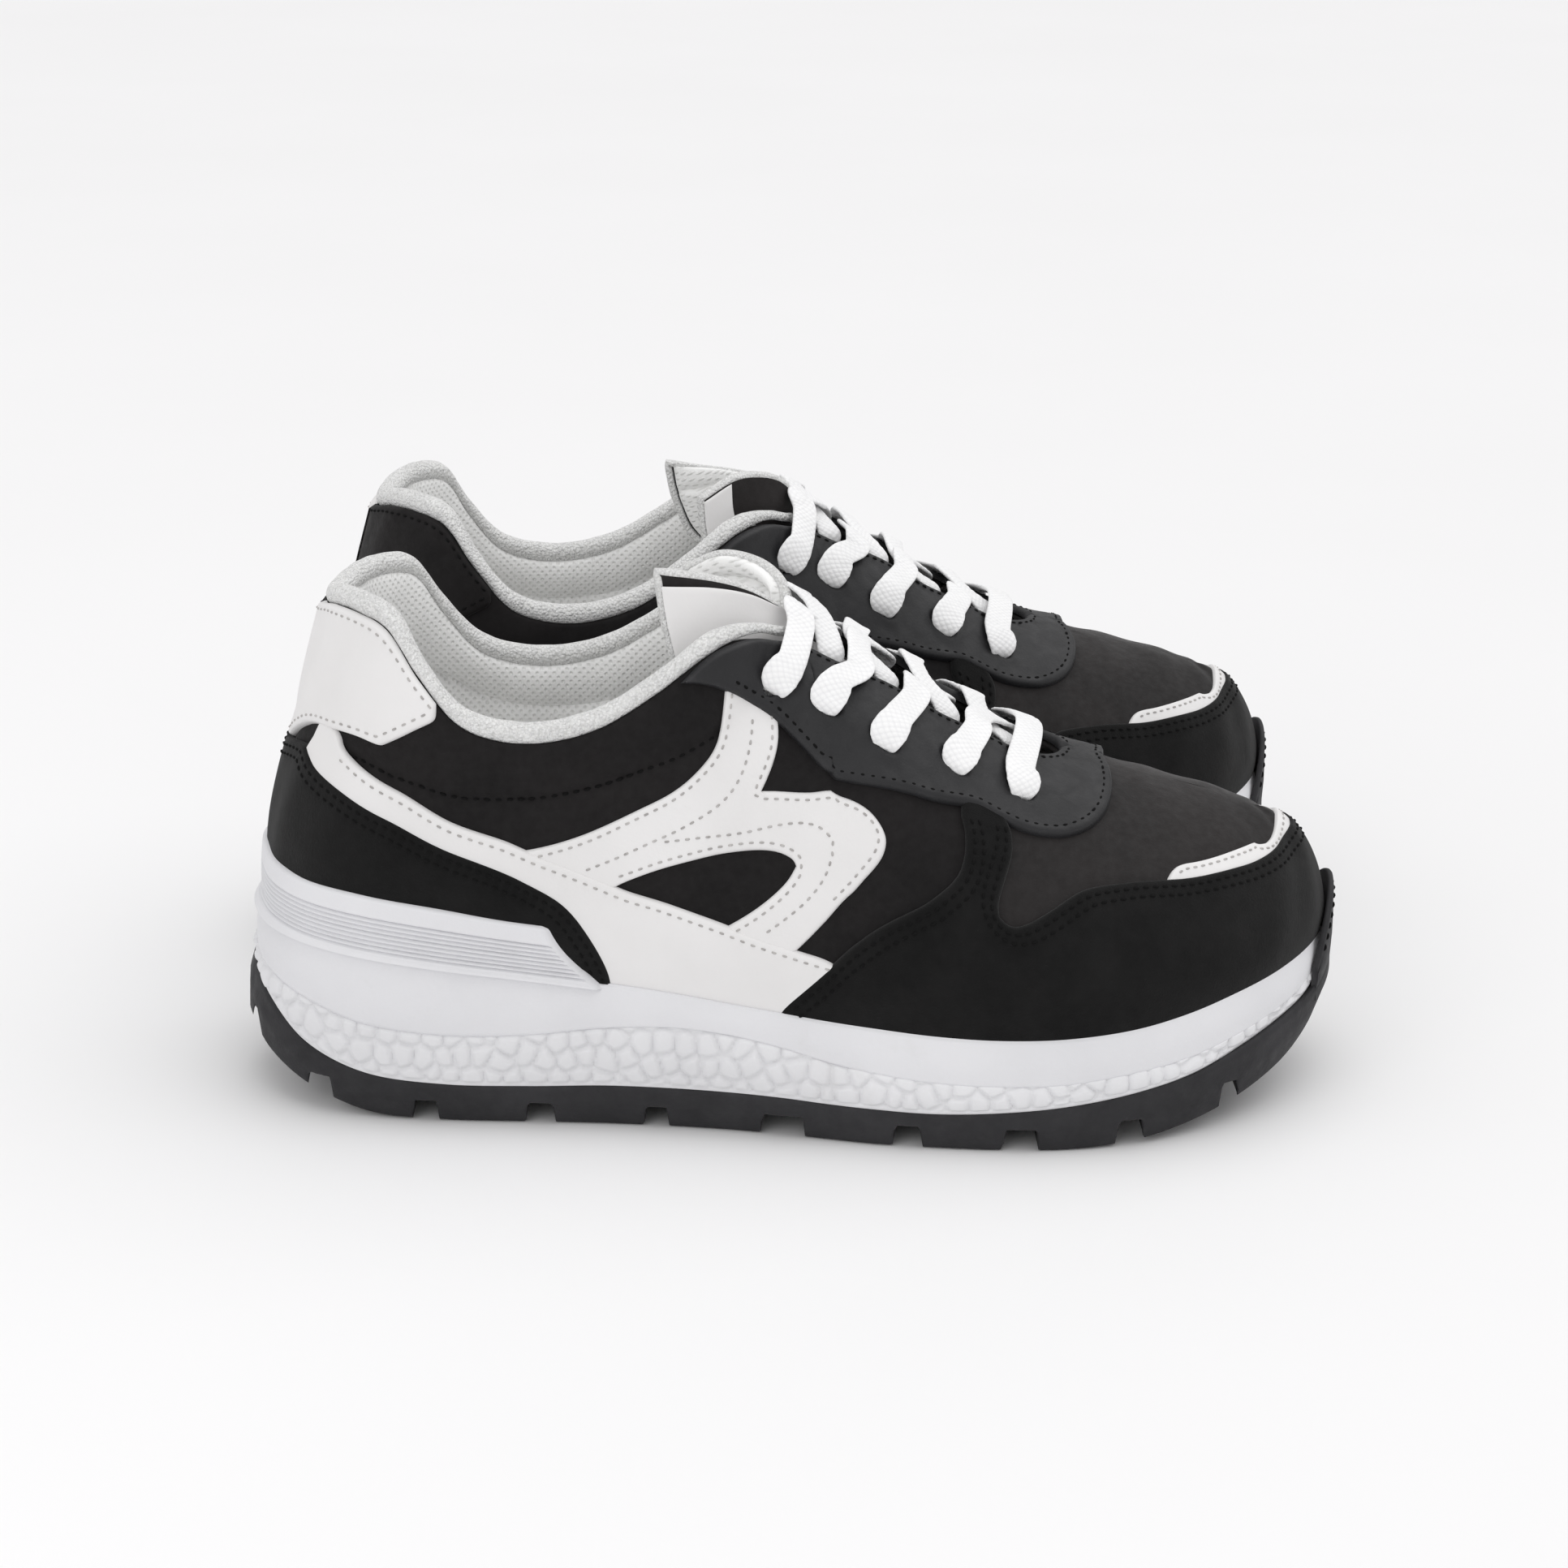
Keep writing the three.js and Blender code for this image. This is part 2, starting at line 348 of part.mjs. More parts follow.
  // sole units
  let outsole = loft([ring(O_GROUND, ZB), ring(O_LOW.map((o, i) => (o + O_GROUND[i]) / 2 + 0.8), ZB.map((z, i) => z + 0.55 * (ZT[i] - z))), ring(O_LOW, ZT)]);
  const grooves = [[19,25.5],[45.5,51.5],[73.3,80],[102.2,107.8],[130.6,141],[162.3,169],[188.6,197],[216.2,222.7],[242,247]];
  for (const [a, b] of grooves) {
    const m = (a + b) / 2, z = m < 36 ? 4.2 : m > 230 ? 6.5 : m > 210 ? 1.2 : 0;
    outsole = outsole.subtract(box(a, b, -90, 90, -5, z + LUG_DEPTH));
  }
  outsole = outsole.subtract(box(3.6, 6.4, -90, 90, 5, 20.5));
  outsole = outsole.subtract(box(-5, 300, -6, 6, -5, 3.2));
  // toe bumper: the rubber comes up in front of the toe
  {
    const us = [], pos = [], tri = [];
    for (let k = -4; k <= 4; k++) us.push(k * 0.45);
    for (const w of us) {
      const u = N - Math.abs(w), medial = w > 0, s = medial ? 1 : -1, tab = medial ? FM : FL;
      const f = spline(tab, u), n = outward(tab, u), t = Math.abs(w) / 1.8;
      const top = 51 - 16 * t * t - 2 * t, base = along(ZT, u) - 4, lo = along(O_LOW, u);
      const at = (o, z) => pos.push(f[0] + n[0] * o, (f[1] + n[1] * o) * s, z);
      at(lo - 0.1, base);
      at(4.6, top);
      at(3.3, top - 0.4);
      at(3.3, base);
    }
    const n = 4;
    for (let i = 0; i < us.length - 1; i++) for (let k = 0; k < n; k++) {
      const a = i * n + k, b = i * n + ((k + 1) % n);
      tri.push(a, b, b + n, a, b + n, a + n);
    }
    tri.push(0, 2, 1, 0, 3, 2);
    const o = (us.length - 1) * n;
    tri.push(o, o + 1, o + 2, o, o + 2, o + 3);
    pieces.bumper = solid(pos, tri);
  }
  outsole = outsole.add(pieces.bumper);
  delete pieces.bumper;
  pieces.outsole = outsole;
  pieces.midsole_pebbled = loft([
    ring(O_PEB, ZT, 0, GAP),
    ring(O_SEAM.map((o, i) => (o + O_PEB[i]) / 2 + (i < 18 ? 1.1 : 0.3)), ZT.map((z, i) => 0.5 * (z + ZS[i])), 0),
    ring(O_SEAM, ZS, -0.4, -0.6),
  ]);
  const footbed = FL.map((f) => f[2] - 0.5);
  pieces.midsole_smooth = loft([
    ring(O_SEAM, ZS, 0.1, 0),
    ring(O_SEAM.map((o, i) => (o + O_TOP[i]) / 2), ZS.map((z, i) => 0.5 * (z + footbed[i])), 0.5),
    ring(O_TOP, footbed, 0, -0.1),
  ]);

  // insole board and sock liner inside the upper
  const inset = (d) => O_TOP.map(() => d);
  const zIn = FL.map((f) => f[2]);
  pieces.insole_board = loft([ring(inset(-3.2), zIn, 0, 0.1), ring(inset(-3.2), zIn, 0, 2.0)]);
  pieces.sock_liner = loft([ring(inset(-8.6), zIn, 0, 2.3), ring(inset(-8.0), zIn, 0, 2.3 + SOCK_THICKNESS)]);

  // ribbed heel stabiliser clipped round the back of the upper, above the midsole
  {
    const us = [], pos = [], tri = [], steps = 7;
    for (let u = -6.6; u <= 6.6001; u += 0.6) us.push(u);
    for (const w of us) {
      const u = Math.abs(w), medial = w > 0, s = medial ? 1 : -1, tab = medial ? FM : FL;
      const f = spline(tab, u), n = outward(tab, u);
      const zTop = along([62,61.6,60.6,59.4,58,55.6,52.4,50.8], u), z0 = f[2] + 0.15;
      const end = smooth(7.2, 6.4, u);
      const at = (o, z) => pos.push(f[0] + n[0] * o, (f[1] + n[1] * o) * s, z);
      // outside face from the midsole edge up to the top edge, then down the inside face
      const out0 = along(O_TOP, u), inside = 3.6;
      at(out0 + 1.2 * end, z0);
      for (let k = 1; k <= 3; k++) at(out0 + 1.2 * end - (k / 3) * 0.6 + 0.9, z0 + (k / 3) * (zTop - z0) * 0.98);
      at(inside, zTop);
      at(inside - 0.9, z0);
    }
    const n = 6;
    for (let i = 0; i < us.length - 1; i++) for (let k = 0; k < n; k++) {
      const a = i * n + k, b = i * n + ((k + 1) % n);
      tri.push(a, b, b + n, a, b + n, a + n);
    }
    for (let k = 1; k < n - 1; k++) {
      tri.push(0, k + 1, k);
      const o = (us.length - 1) * n;
      tri.push(o, o + k, o + k + 1);
    }
    pieces.heel_stabiliser = solid(pos, tri);
  }

  // tongue: outside surface as a net of points, centre line to edge, foot of the throat to the top
  const net = [
    [[207.45,0,76.61],[207.45,2.2,76.51],[207.35,4.6,76.41],[207.25,7,76.11],[207.15,9,75.61]],
    [[194.92,0,80.37],[194.72,3.1,80.37],[194.42,6.4,80.07],[194.12,9.7,79.57],[193.82,12.8,78.67]],
    [[181.08,0,86.88],[181.08,4.2,86.68],[180.98,8.2,86.08],[180.38,12.4,85.18],[179.38,16.2,83.88]],
    [[166.28,0,95.88],[165.88,5,95.88],[165.28,10,94.98],[164.58,14.6,93.33],[163.28,18.2,90.48]],
    [[151.88,0,105.58],[151.78,5.4,105.08],[151.18,10.6,103.78],[150.18,15.3,100.38],[148.68,18.4,95.08]],
    [[141.6,0,112.2],[140.4,5.4,111.8],[137.8,10.8,109.6],[133.9,15.8,105.0],[128.32,18.2,97.67]],
    [[139.4,0,115.4],[137.2,5.5,115.9],[132.0,11.0,115.6],[124.0,16.0,112.2],[113.5,19.0,105.2]],
    [[138.6,0,116.8],[135.8,5.6,119.0],[128.6,10.8,121.8],[119.5,15.6,121.4],[108.6,18.9,117.6]],
    [[138.2,0,118.0],[135.0,5.7,121.5],[127.6,10.7,127.0],[118.6,15.3,130.9],[106.0,18.7,133.5]],
  ];
  const netPoint = (r, w) => {
    // r row number (may be fractional), w from -1 (lateral edge) to 1 (medial edge)
    const i = Math.min(Math.floor(r), net.length - 2), f = r - i, c = Math.min(Math.abs(w), 1) * 4, j = Math.min(Math.floor(c), 3), g = c - j;
    const s = w < 0 ? -1 : 1;
    return [0, 1, 2].map((q) => {
      const a = net[i][j][q] * (1 - g) + net[i][j + 1][q] * g, b = net[i + 1][j][q] * (1 - g) + net[i + 1][j + 1][q] * g;
      return (a * (1 - f) + b * f) * (q === 1 ? s : 1);
    });
  };
  const netNormal = (r, w) => {
    const e = 0.4, a = netPoint(Math.min(r + e, 8), w), b = netPoint(Math.max(r - e, 0), w), c = netPoint(r, Math.min(w + 0.2, 1)), d = netPoint(r, Math.max(w - 0.2, -1));
    const R = new THREE.Vector3(a[0] - b[0], a[1] - b[1], a[2] - b[2]), W = new THREE.Vector3(c[0] - d[0], c[1] - d[1], c[2] - d[2]);
    const n = W.cross(R).normalize();
    if (Math.abs(w) < 1e-6) { n.y = 0; n.normalize(); }
    if (n.x + n.z < 0) n.negate();
    return n;
  };
  const sheetOn = (rows, cols, low, high) => {
    const pos = [], tri = [], nr = rows.length, nc = cols.length;
    for (const h of [0, 1]) for (const r of rows) for (const w of cols) {
      const p = netPoint(r, w), n = netNormal(r, w), o = h ? high(r, w) : low(r, w);
      pos.push(p[0] + n.x * o, p[1] + n.y * o, p[2] + n.z * o);
    }
    const id = (h, i, j) => (h * nr + i) * nc + j;
    const quad = (a, b, c, d) => tri.push(a, b, c, a, c, d);
    for (let i = 0; i < nr - 1; i++) for (let j = 0; j < nc - 1; j++) {
      quad(id(1, i, j), id(1, i, j + 1), id(1, i + 1, j + 1), id(1, i + 1, j));
      quad(id(0, i, j), id(0, i + 1, j), id(0, i + 1, j + 1), id(0, i, j + 1));
    }
    for (let i = 0; i < nr - 1; i++) {
      quad(id(0, i, 0), id(1, i, 0), id(1, i + 1, 0), id(0, i + 1, 0));
      quad(id(0, i, nc - 1), id(0, i + 1, nc - 1), id(1, i + 1, nc - 1), id(1, i, nc - 1));
    }
    for (let j = 0; j < nc - 1; j++) {
      quad(id(0, 0, j), id(0, 0, j + 1), id(1, 0, j + 1), id(1, 0, j));
      quad(id(0, nr - 1, j), id(1, nr - 1, j), id(1, nr - 1, j + 1), id(0, nr - 1, j + 1));
    }
    return solid(pos, tri);
  };
  const allRows = [0, 1, 2, 3, 4, 5, 6, 7, 8], allCols = [-1, -0.75, -0.5, -0.25, 0, 0.25, 0.5, 0.75, 1];
  pieces.tongue_shell = sheetOn(allRows, allCols, () => -1.2, () => 0);
  pieces.tongue_padding = sheetOn([0.15, 1, 2, 3, 4, 5, 6, 7, 8], [-0.97, -0.75, -0.5, -0.25, 0, 0.25, 0.5, 0.75, 0.97], (r, w) => -3.1 - 2.4 * (1 - w * w) * smooth(0, 3, r), () => -1.5);
  pieces.tongue_wing = sheetOn([6.45, 7, 8], [-1, -0.75, -0.5, -0.25], () => 0.3, () => 1.1);

  // lace: one flat woven band.  A straight bar joins the front pair of eyelets;
  // from there each end runs up inside, out past the edge of the eyestay and
  // across to the next eyelet on the other side, and is tucked in at the top.
  {
    const way = []; // {p, b, w}: centre, width direction, width
    const V = (a) => new THREE.Vector3(...a);
    const hole = (k, s) => pieces.holes[k * 2 + (s > 0 ? 1 : 0)];
    const toeward = (n) => { const x = new THREE.Vector3(1, 0, 0); return x.addScaledVector(n, -x.dot(n)).normalize(); };
    const edge = (k, s, du = 0, dv = 0) => {
      const at = [[11.2,0.885],[12.35,0.815],[13.15,0.84],[14.05,0.86],[15.0,0.876]][k], medial = s > 0;
      const u = at[0] + du, v = at[1] + dv;
      const p = onGrid(u, v, 0, medial), n = normal(u, v, medial).map((q) => q * sideSign);
      return { p: V([p[0], s * p[1], p[2]]), n: V([n[0], s * n[1], n[2]]) };
    };
    const strand = (first) => {
      // waypoints from the front eyelet on side `first` to the tucked end
      const r = [];
      let s = first;
      for (let k = 4; k >= 0; k--) {
        const h = hole(k, s), c = V(h.p), n = V(h.n), b = toeward(n), out = new THREE.Vector3().crossVectors(b, n);
        if (Math.sign(out.y) !== s) out.negate();
        const up = (o, d, w, bb = b) => r.push({ p: c.clone().addScaledVector(n, o).addScaledVector(out, d), b: bb, w });
        up(k === 4 ? 3.7 : 3.25, -3.6, LACE_WIDTH); up(3.35, -1.2, 5.6); up(2.3, 0.1, 4.2); up(0.6, 0.2, 3.7); up(-1.6, 0.15, 3.7);
        if (k === 0) { up(-3.0, 1.4, 4.6); up(-3.8, 5, 6.2); up(-4.4, 9.5, 6.2); break; }
        up(-2.9, -1.2, 4.6);
        const e = edge(k, s);
        r.push({ p: e.p.clone().addScaledVector(e.n, -2.7), b: toeward(e.n), w: 6.0 });
        const e3 = edge(k, s, -0.12, 0.055), e4 = edge(k - 1, -s, 0.12, 0.055);
        r.push({ p: e3.p.clone().addScaledVector(e3.n, -2.0), b: toeward(e3.n), w: LACE_WIDTH });
        const h2 = hole(k - 1, -s), c2 = V(h2.p).addScaledVector(V(h2.n), 3.25), e2 = edge(k - 1, -s);
        const from = e3.p.clone().addScaledVector(e3.n, -2.0);
        const mid = from.clone().add(c2).multiplyScalar(0.5);
        mid.y = 0;
        const lift = (k % 2 === 0) === (s > 0) ? 1.0 : -1.0;
        // the middle of the crossing lies on the tongue side of the instep line
        let best = 12, bd = 1e9;
        for (let u = 12; u < 16; u += 0.05) { const q = upper(u, 1, false); if (Math.abs(q[0] - mid.x) < bd) { bd = Math.abs(q[0] - mid.x); best = u; } }
        const q = upper(best, 1, false), nq = V(normal(best, 1, false).map((x) => x * sideSign));
        const m = V(q).addScaledVector(nq, 1.0 + lift * 1.0);
        m.y = 0;
        const dir = c2.clone().sub(from).normalize();
        const bb = toeward(nq).addScaledVector(dir, -toeward(nq).dot(dir)).normalize();
        r.push({ p: m, b: bb, w: LACE_WIDTH });
        r.push({ p: e4.p.clone().addScaledVector(e4.n, k === 1 ? 4.3 : 3.5), b: bb, w: LACE_WIDTH });
        const over = e2.p.clone().addScaledVector(e2.n, k === 1 ? 4.3 : 3.4).lerp(c2, 0.12);
        r.push({ p: over, b: bb.clone().lerp(toeward(V(h2.n)), 0.4).normalize(), w: LACE_WIDTH });
        s = -s;
      }
      return r;
    };
    const A = strand(-1), B = strand(1);
    const barMid = (() => { const q = upper(15.3, 1, false), n = V(normal(15.3, 1, false).map((x) => x * sideSign)); return { p: V(q).addScaledVector(n, 4.3), b: toeward(n), w: LACE_WIDTH }; })();
    way.push(...A.reverse(), barMid, ...B);
    const pts = way.map((q) => q.p), pos = [], tri = [];
    const cen = [], bs = [], ws = [];
    for (let i = 0; i < way.length - 1; i++) {
      const g = (k) => pts[clamp(k, 0, way.length - 1)], sub = pts[i].distanceTo(pts[i + 1]) > 7 ? 3 : 1;
      for (let j = 0; j < sub; j++) {
        const f = j / sub, a = g(i - 1), b = g(i), c = g(i + 1), d = g(i + 2), v = new THREE.Vector3();
        for (const q of ["x", "y", "z"]) v[q] = 0.5 * (2 * b[q] + (c[q] - a[q]) * f + (2 * a[q] - 5 * b[q] + 4 * c[q] - d[q]) * f * f + (3 * b[q] - a[q] - 3 * c[q] + d[q]) * f * f * f);
        cen.push(v); bs.push(way[i].b.clone().lerp(way[i + 1].b, f).normalize()); ws.push(way[i].w * (1 - f) + way[i + 1].w * f);
      }
    }
    cen.push(pts[way.length - 1].clone()); bs.push(way[way.length - 1].b.clone()); ws.push(way[way.length - 1].w);
    for (let i = 0; i < cen.length; i++) {
      const t = cen[Math.min(i + 1, cen.length - 1)].clone().sub(cen[Math.max(i - 1, 0)]).normalize();
      const b = bs[i].clone().addScaledVector(t, -bs[i].dot(t)).normalize(), m = new THREE.Vector3().crossVectors(t, b);
      for (const [x, y] of [[-1, -1], [1, -1], [1, 1], [-1, 1]]) {
        const v = cen[i].clone().addScaledVector(b, x * ws[i] / 2).addScaledVector(m, y * LACE_THICKNESS / 2);
        pos.push(v.x, v.y, v.z);
      }
    }
    for (let i = 0; i < cen.length - 1; i++) for (let k = 0; k < 4; k++) {
      const a = i * 4 + k, b = i * 4 + ((k + 1) % 4);
      tri.push(a, b, b + 4, a, b + 4, a + 4);
    }
    const o = (cen.length - 1) * 4;
    tri.push(0, 2, 1, 0, 3, 2, o, o + 1, o + 2, o, o + 2, o + 3);
    pieces.lace = solid(pos, tri);
  }
}
delete pieces.holes;

// ---- materials and the pair ----------------------------------------------
const paint = {
  outsole: [0x353438, 0.85], midsole_pebbled: [0xe6e6ea, 0.6], midsole_smooth: [0xe9e9ec, 0.55], heel_stabiliser: [0xe4e4e8, 0.5],
  quarter_lateral: [0x262323, 0.75], quarter_medial: [0x262323, 0.75], vamp: [0x2b2726, 0.7], toe_overlay: [0x141414, 0.95],
  toe_stripe: [0xeeecea, 0.5], eyestay: [0x2b2b2f, 0.55], saddle_strap_lateral: [0xe9e7e6, 0.5], saddle_strap_medial: [0xe9e7e6, 0.5],
  side_overlay_lateral: [0xeae8e7, 0.5], side_overlay_medial: [0xeae8e7, 0.5], heel_counter_overlay: [0x151414, 0.95],
  heel_tab_lateral: [0xe6e4e3, 0.5], heel_tab_medial: [0x201e1e, 0.6], collar_lining: [0xdfdfd8, 0.9], vamp_lining: [0xd8d8d4, 0.9],
  collar_roll: [0xf0f0ee, 0.95], insole_board: [0xcfcac0, 0.8], sock_liner: [0xd9d9d6, 0.9], tongue_shell: [0x232121, 0.75],
  tongue_padding: [0xdadad5, 0.9], tongue_wing: [0xefedec, 0.5], lace: [0xf4f4f4, 0.8],
};
const shape = new THREE.Group();
shape.name = "sneaker_pair";
const MID = 140;
const OFFSET = [-2.003, 0]; // puts the middle of the pair over the origin, with the lugs on the ground
function place(name, s, mirror) {
  const m = s.getMesh(), pos = new Float32Array(m.numVert * 3);
  const a = (mirror ? 1 : -1) * TOE_OUT * Math.PI / 180, ca = Math.cos(a), sa = Math.sin(a);
  for (let k = 0; k < m.numVert; k++) {
    const x = m.vertProperties[k * m.numProp] - MID, y = m.vertProperties[k * m.numProp + 1] * (mirror ? -1 : 1), z = m.vertProperties[k * m.numProp + 2];
    pos[k * 3] = x * ca - y * sa + OFFSET[0] + (mirror ? AHEAD : 0);
    pos[k * 3 + 1] = x * sa + y * ca + (mirror ? SPACING / 2 : -SPACING / 2);
    pos[k * 3 + 2] = z + OFFSET[1];
  }
  const idx = new Uint32Array(m.triVerts);
  if (mirror) for (let k = 0; k < idx.length; k += 3) { const q = idx[k + 1]; idx[k + 1] = idx[k + 2]; idx[k + 2] = q; }
  const g = new THREE.BufferGeometry();
  g.setAttribute("position", new THREE.BufferAttribute(pos, 3));
  g.setIndex(new THREE.BufferAttribute(idx, 1));
  const flatG = g.toNonIndexed();
  flatG.computeVertexNormals();
  const [c, r] = paint[name];
  const mesh = new THREE.Mesh(flatG, new THREE.MeshStandardMaterial({ color: c, roughness: r, metalness: 0 }));
  mesh.name = `${mirror ? "left" : "right"}_${name}`;
  shape.add(mesh);
}

for (const mirror of [false, true]) for (const [name, s] of Object.entries(pieces)) place(name, s, mirror);

export default shape;
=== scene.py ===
import math
import bpy
import numpy as np
from mathutils import Matrix, Vector
from mathutils.geometry import delaunay_2d_cdt
from mathutils.kdtree import KDTree


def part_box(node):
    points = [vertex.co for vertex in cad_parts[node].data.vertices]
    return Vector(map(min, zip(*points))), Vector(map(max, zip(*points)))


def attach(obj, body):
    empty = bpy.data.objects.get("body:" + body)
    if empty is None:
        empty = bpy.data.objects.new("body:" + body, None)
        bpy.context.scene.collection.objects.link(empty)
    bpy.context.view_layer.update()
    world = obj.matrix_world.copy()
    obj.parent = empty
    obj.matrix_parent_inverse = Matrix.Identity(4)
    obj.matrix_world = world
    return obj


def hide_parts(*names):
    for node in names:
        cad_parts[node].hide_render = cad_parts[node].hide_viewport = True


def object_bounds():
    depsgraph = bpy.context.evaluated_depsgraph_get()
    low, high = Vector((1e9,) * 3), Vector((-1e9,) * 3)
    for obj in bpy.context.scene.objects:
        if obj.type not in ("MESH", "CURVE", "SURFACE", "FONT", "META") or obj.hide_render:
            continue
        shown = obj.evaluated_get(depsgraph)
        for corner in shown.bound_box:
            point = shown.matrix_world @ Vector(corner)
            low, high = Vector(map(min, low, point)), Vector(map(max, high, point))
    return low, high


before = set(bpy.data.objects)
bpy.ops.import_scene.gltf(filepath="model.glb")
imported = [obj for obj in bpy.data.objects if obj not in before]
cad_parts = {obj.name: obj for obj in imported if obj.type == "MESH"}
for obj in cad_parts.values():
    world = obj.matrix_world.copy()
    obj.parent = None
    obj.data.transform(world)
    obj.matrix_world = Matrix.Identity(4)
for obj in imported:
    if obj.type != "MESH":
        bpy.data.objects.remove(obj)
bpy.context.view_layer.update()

# ---------------------------------------------------------------- the upper's surface
# One shoe in its own frame, millimetres: x from the back of the heel, lateral side toward -y.
T = np.array([[25.5,0,124],[29,10,126],[35,19,126.5],[42.5,26,124],[50,30.5,113],[60,33,102],[75,33.5,98.5],[91,32.5,101.5],[105,30.5,109.5],[117,27.5,118],[127,21,122],[133.5,11,122.5],[136,0,122],[153,0,111.5],[171,0,99.5],[190,0,88.5],[207,0,82],[221,0,78.3],[233,0,75.2],[243.5,0,72.2],[250.5,0,69.8],[254.5,0,68.3],[256,0,67.8]], float)
FL = np.array([[10,0,46],[11.2,9.5,45.8],[15,19.5,45.2],[23,27.5,44],[36,33,42.5],[54,36,40.5],[74,37.5,38.5],[93,39,36.5],[110,41,34.5],[124,43,32.5],[136,45,31],[147,46.5,29.5],[158,48,28.3],[172,49.7,27],[187,50.8,26.3],[203,50.8,26.6],[219,48.5,28],[233,44,30.5],[245.5,37.5,33.5],[256,29,35.8],[263.5,19.5,37.2],[268.3,10,38],[270,0,38.2]], float)
MW = [0,9.5,19.3,27,32,34.5,35,35,35.3,36.2,37.5,38.8,40.2,42,43.5,44.2,43.3,40.5,35.5,28,19,10,0]
FM = FL.copy()
FM[:, 1] = MW
N = 22


def smooth(a, b, x):
    t = np.clip((np.asarray(x, float) - a) / (b - a), 0, 1)
    return t * t * (3 - 2 * t)


def pad(tab):
    m = np.array([1, -1, 1])
    return np.vstack([tab[1] * m, tab, tab[-2] * m, tab[-3] * m])


PT, PL, PM = pad(T), pad(FL), pad(FM)


def spl(tab, u):
    u = np.clip(np.asarray(u, float), 0, N)
    i = np.minimum(np.floor(u).astype(int), N - 1)
    f = (u - i)[..., None]
    a, b, c, d = tab[i], tab[i + 1], tab[i + 2], tab[i + 3]
    return 0.5 * (2 * b + (c - a) * f + (2 * a - 5 * b + 4 * c - d) * f * f + (3 * b - a - 3 * c + d) * f ** 3)


def along(lst, u):
    """Smooth interpolation of a per-rib list, even at both ends."""
    l = np.asarray(lst, float)
    n = len(l) - 1
    p = np.concatenate([[l[1]], l, [l[-2], l[-2]]])
    u = np.clip(np.asarray(u, float), 0, n)
    i = np.minimum(np.floor(u).astype(int), n - 1)
    f = u - i
    a, b, c, d = p[i], p[i + 1], p[i + 2], p[i + 3]
    return 0.5 * (2 * b + (c - a) * f + (2 * a - 5 * b + 4 * c - d) * f * f + (3 * b - a - 3 * c + d) * f ** 3)


def outward(tab, u):
    u = np.clip(np.asarray(u, float), 0, N)
    e = 0.05
    p, q = spl(tab, np.minimum(u + e, N)), spl(tab, np.maximum(u - e, 0))
    dx, dw = p[..., 0] - q[..., 0], p[..., 1] - q[..., 1]
    L = np.hypot(dx, dw) + 1e-9
    nx, ny = -dw / L, dx / L
    a, z = u < 0.03, u > N - 0.03
    return np.where(a, -1, np.where(z, 1, nx)), np.where(a | z, 0, ny)


def upper(u, v, med):
    """Outside of the upper. med: False lateral, True medial. y is the half width."""
    u, v = np.broadcast_arrays(np.asarray(u, float), np.asarray(v, float))
    FT = PM if med else PL
    F, P = spl(FT, u), spl(PT, u)
    nx, ny = outward(FT, u)
    e = 0.05
    a, b = spl(PT, np.minimum(u + e, N)), spl(PT, np.maximum(u - e, 0))
    dx, dz = a[..., 0] - b[..., 0], a[..., 2] - b[..., 2]
    m = np.clip(np.where(np.abs(dx) > 1e-4, -dz / np.maximum(dx, 1e-4), 0.35), 0.2, 0.75)
    px, py = F[..., 0] - P[..., 0], F[..., 1] - P[..., 1]
    L = np.hypot(px, py)
    px, py = px / np.maximum(L, 1e-6), py / np.maximum(L, 1e-6)
    k, h, lt = smooth(9, 13, u), P[..., 2] - F[..., 2], L * 0.62
    P1 = np.stack([F[..., 0] + nx * 3, F[..., 1] + ny * 3, F[..., 2] + h * (0.42 - 0.04 * k)], -1)
    P2 = np.stack([P[..., 0] + nx * 2 * (1 - k) + px * lt * k, P[..., 1] + ny * 2 * (1 - k) + py * lt * k, P[..., 2] - h * 0.33 * (1 - k) - m * px * lt * k], -1)
    w, v = (1 - v)[..., None], v[..., None]
    return w ** 3 * F + 3 * w * w * v * P1 + 3 * w * v * v * P2 + v ** 3 * P


def normal(u, v, med):
    u, v = np.broadcast_arrays(np.asarray(u, float), np.asarray(v, float))
    spine = (v > 1 - 1e-6) & (u > 11.99)
    v = np.where(spine & (u > 19), 0.985, v)
    v = np.where(u > 20.5, np.minimum(v, 0.985), v)
    e = 0.02
    U = upper(np.minimum(u + e, N), v, med) - upper(np.maximum(u - e, 0), v, med)
    V = upper(u, np.minimum(v + e, 1), med) - upper(u, np.maximum(v - e, 0), med)
    n = np.cross(U, V)
    n /= np.linalg.norm(n, axis=-1, keepdims=True) + 1e-12
    edge = (u < 1e-6) | (u > N - 1e-6) | spine
    n[..., 1] = np.where(edge, 0, n[..., 1])
    n /= np.linalg.norm(n, axis=-1, keepdims=True) + 1e-12
    return n * NS


NS = 1.0
NS = 1.0 if normal(6.0, 0.5, False)[1] > 0 else -1.0
RIB = np.array([np.linalg.norm(np.diff(upper(np.full(41, float(k)), np.linspace(0, 1, 41), False), axis=0), axis=1).sum() for k in range(23)])


def below(u, mm):
    return 1 - mm / np.interp(u, np.arange(23), RIB)


QUILT = np.array([[0,0.60],[1.5,0.56],[2.817,0.5412],[3.812,0.5826],[4.746,0.6476],[5.536,0.7005],[6.459,0.7312],[7.426,0.7379],[8.262,0.7222],[8.747,0.7221],[9.191,0.7306],[10.4,0.80]])


